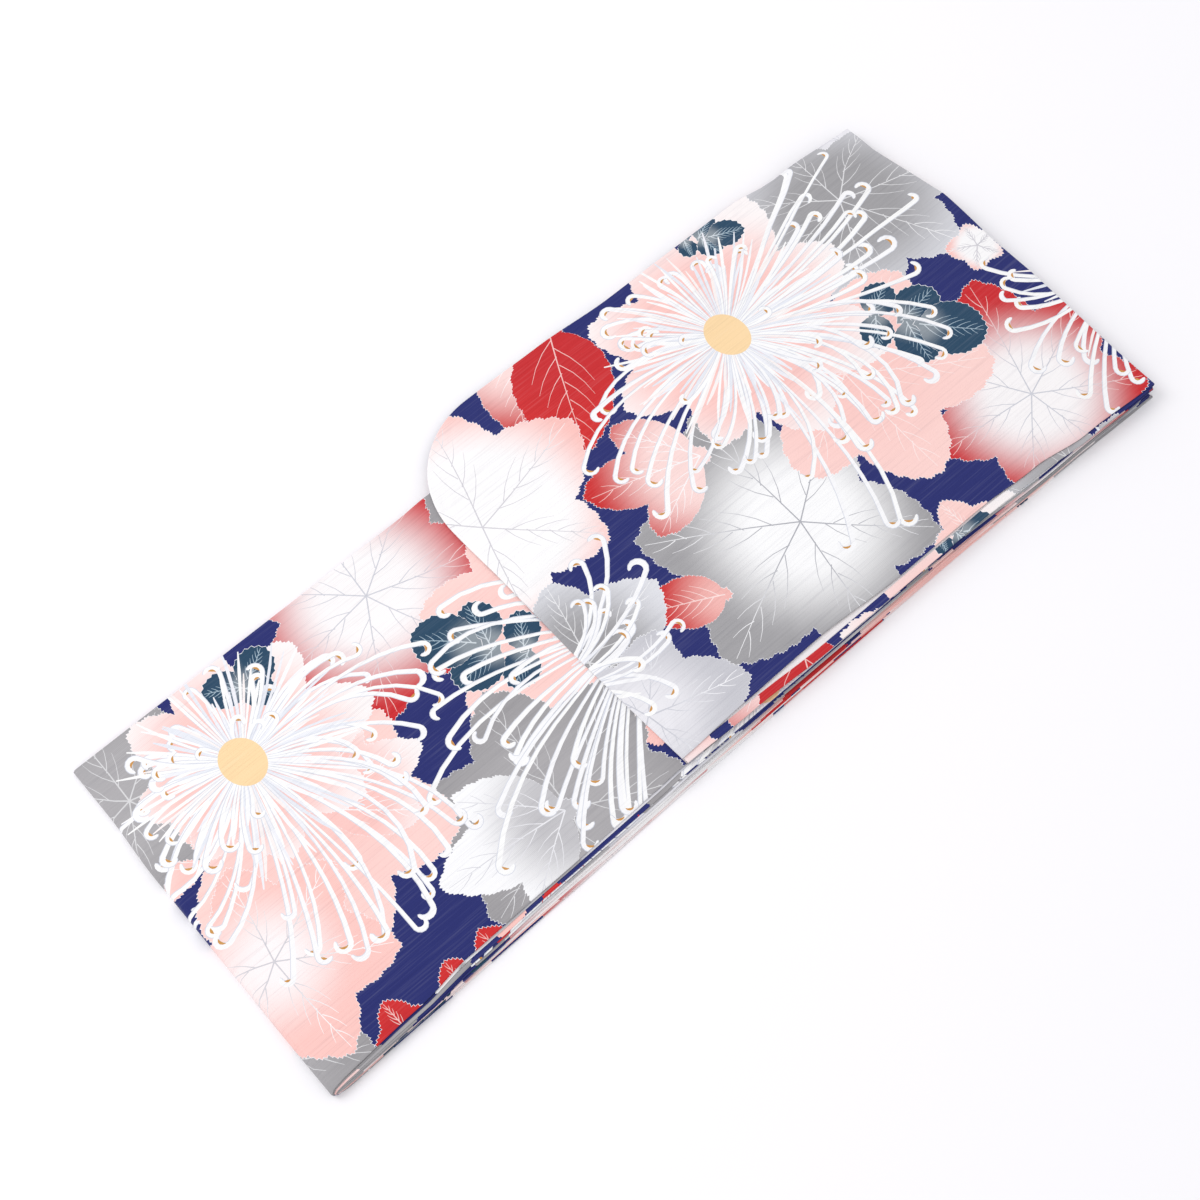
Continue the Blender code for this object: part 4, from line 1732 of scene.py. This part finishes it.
@dataclass
class Robe:
    """The whole folded robe."""

    cotton: PrintedCotton = PrintedCotton()
    material: bpy.types.Material | None = None

    def dress(self, form: Form, drawn: Sequence[Patch], node: str,
              face: int = 1) -> None:
        """Makes a sheet, hangs it from the root, hides the solid that it stands for and logs its cut.
            face: 1 if the right side of the cloth looks outwards, or -1 if it looks inwards.
        """
        sheet = Sheet(form.name, form.cut(), form.place, drawn, form.thickness, face)
        piece = sheet.build()
        piece.data.materials.append(self.material)
        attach(piece, "root")
        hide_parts(node)
        area = sheet.cut.area()
        sheet.cut.size()
        width, length = sheet.cut.size()
        LOG.info("%s: cut %.3f x %.3f m, %.4f m2", sheet.name, width, length, area)

    def sleeves(self) -> None:
        """The left sleeve on top of everything, and the right one inside the fold."""
        def left_base(x: Array, y: Array) -> Array:
            """The height of the left sleeve's under face: on the left back, drooping past it."""
            droop = PACKAGE.left_droop * smooth(y, PACKAGE.overhang_from, PACKAGE.left_droop_to)
            return PACKAGE.upper_face(x, np.minimum(y, PACKAGE.overhang_from)) + PACKAGE.gap - droop

        def right_base(x: Array, y: Array) -> Array:
            """The height of the right sleeve's under face: on the right back, then down to the table."""
            low = PACKAGE.mid_height(np.minimum(y, PACKAGE.overhang_from)) + PACKAGE.gap / 2
            return low + (PACKAGE.right_rest - low) * smooth(y, PACKAGE.back_width, PACKAGE.right_droop_to)

        left = Sleeve("left_sleeve_cloth", inset=0.0, edge_rows=LEFT_SLEEVE_EDGE, base=left_base)
        top = left.straight + left.half_turn
        drawn = turned(patches_of(SLEEVE_LEAVES, ()), top + 40.0, 344.0)
        flowers = (FLOWER_D, FLOWER_C_SLEEVE, FLOWER_A)
        drawn += shifted(patches_of((*SLEEVE_TIP, *SLEEVE_LEAVES), flowers), -top)
        self.dress(left, drawn, "left_sleeve")
        right = Sleeve("right_sleeve_cloth", inset=4.0, edge_rows=RIGHT_SLEEVE_EDGE, base=right_base,
                       spacing=9.0)
        drawn = turned(patches_of(SLEEVE_LEAVES, ()), 180.0, 352.0)
        drawn += shifted(patches_of(BODY_LEAVES, ()), 60.0, 40.0)
        drawn += shifted(patches_of(SLEEVE_LEAVES, ()), -20.0, 30.0)
        self.dress(right, drawn, "right_sleeve")

    def backs(self) -> None:
        """The left back round the outside, and the right back as the innermost layer."""
        def left_offset(x: Array, y: Array, upper: Array) -> Array:
            """How far out the left back lies."""
            return PACKAGE.left_back_inner(x, y, upper) + PACKAGE.wall / 2

        def right_offset(x: Array, y: Array, upper: Array) -> Array:
            """How far out the right back lies."""
            return np.full_like(y, (PACKAGE.gap + PACKAGE.wall) / 2)

        left = Hairpin("left_back_cloth", "left_back", left_offset,
                       lambda s: np.full_like(s, PACKAGE.back_width),
                       shoulder_short=0.0, hem_short=1.0, spacing=7.0)
        beneath = (*BODY_LEAVES, *plain_leaves(SLEEVE_LEAVES))
        drawn = turned(patches_of(beneath, (replace(FLOWER_B, short=64, inner=6),)), -4.0, 318.0)
        drawn += shifted(patches_of(plain_leaves(BODY_LEAVES), ()), 370.0, -14.0)
        drawn += patches_of(BODY_LEAVES, (FLOWER_C, FLOWER_B))
        self.dress(left, drawn, "left_back")
        right = Hairpin("right_back_cloth", "right_back", right_offset,
                        lambda s: np.full_like(s, PACKAGE.back_width - 2 * PACKAGE.gap),
                        shoulder_short=0.8, hem_short=4.0, face=-1, spacing=11.0)
        leaves = plain_leaves((*BODY_LEAVES, *SLEEVE_LEAVES))
        drawn = shifted(patches_of(leaves, ()), -30.0, -24.0)
        drawn += turned(patches_of(leaves, ()), 25.0, 300.0)
        self.dress(right, drawn, "right_back", -1)

    def fronts(self) -> None:
        """The panels folded inside: the left front, the two overlaps and the right front."""
        leaves = patches_of(plain_leaves((*BODY_LEAVES, *SLEEVE_LEAVES)), ())
        flower = patches_of((), (FLOWER_B,))
        for row in FRONT_PANELS:
            panel = Hairpin(row.name, row.column, row.offset, row.far_edge, shoulder_short=1.6,
                            hem_short=3.0, wall=0.62, thickness=0.30, roll=Roll(0.16, 4.0),
                            far_roll=CUT_EDGE, end_roll=Roll(0.16, 2.0), spacing=11.0)
            drawn = shifted(leaves, row.along_by, row.across_by)
            drawn += turned(leaves, row.along_by / 2, 290.0 + row.across_by)
            drawn += shifted(flower, row.flower_by, -201.0)
            self.dress(panel, drawn, "folded_fronts")

    def collar(self) -> None:
        """The collar, of which a narrow fold shows at the neck."""
        band = CollarBand()
        drawn = shifted(patches_of(plain_leaves(SLEEVE_LEAVES), ()), -560.0, 40.0)
        self.dress(band, drawn, "collar")

    def build(self) -> None:
        """Builds the pieces from the outside in."""
        self.material = self.cotton.make()
        self.sleeves()
        self.backs()
        self.fronts()
        self.collar()


def main() -> None:
    """Builds the robe and its setting."""
    logging.basicConfig(level=logging.INFO, format="%(message)s")
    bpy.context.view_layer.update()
    Stage().build()
    Robe().build()


if __name__ == "__main__":
    main()
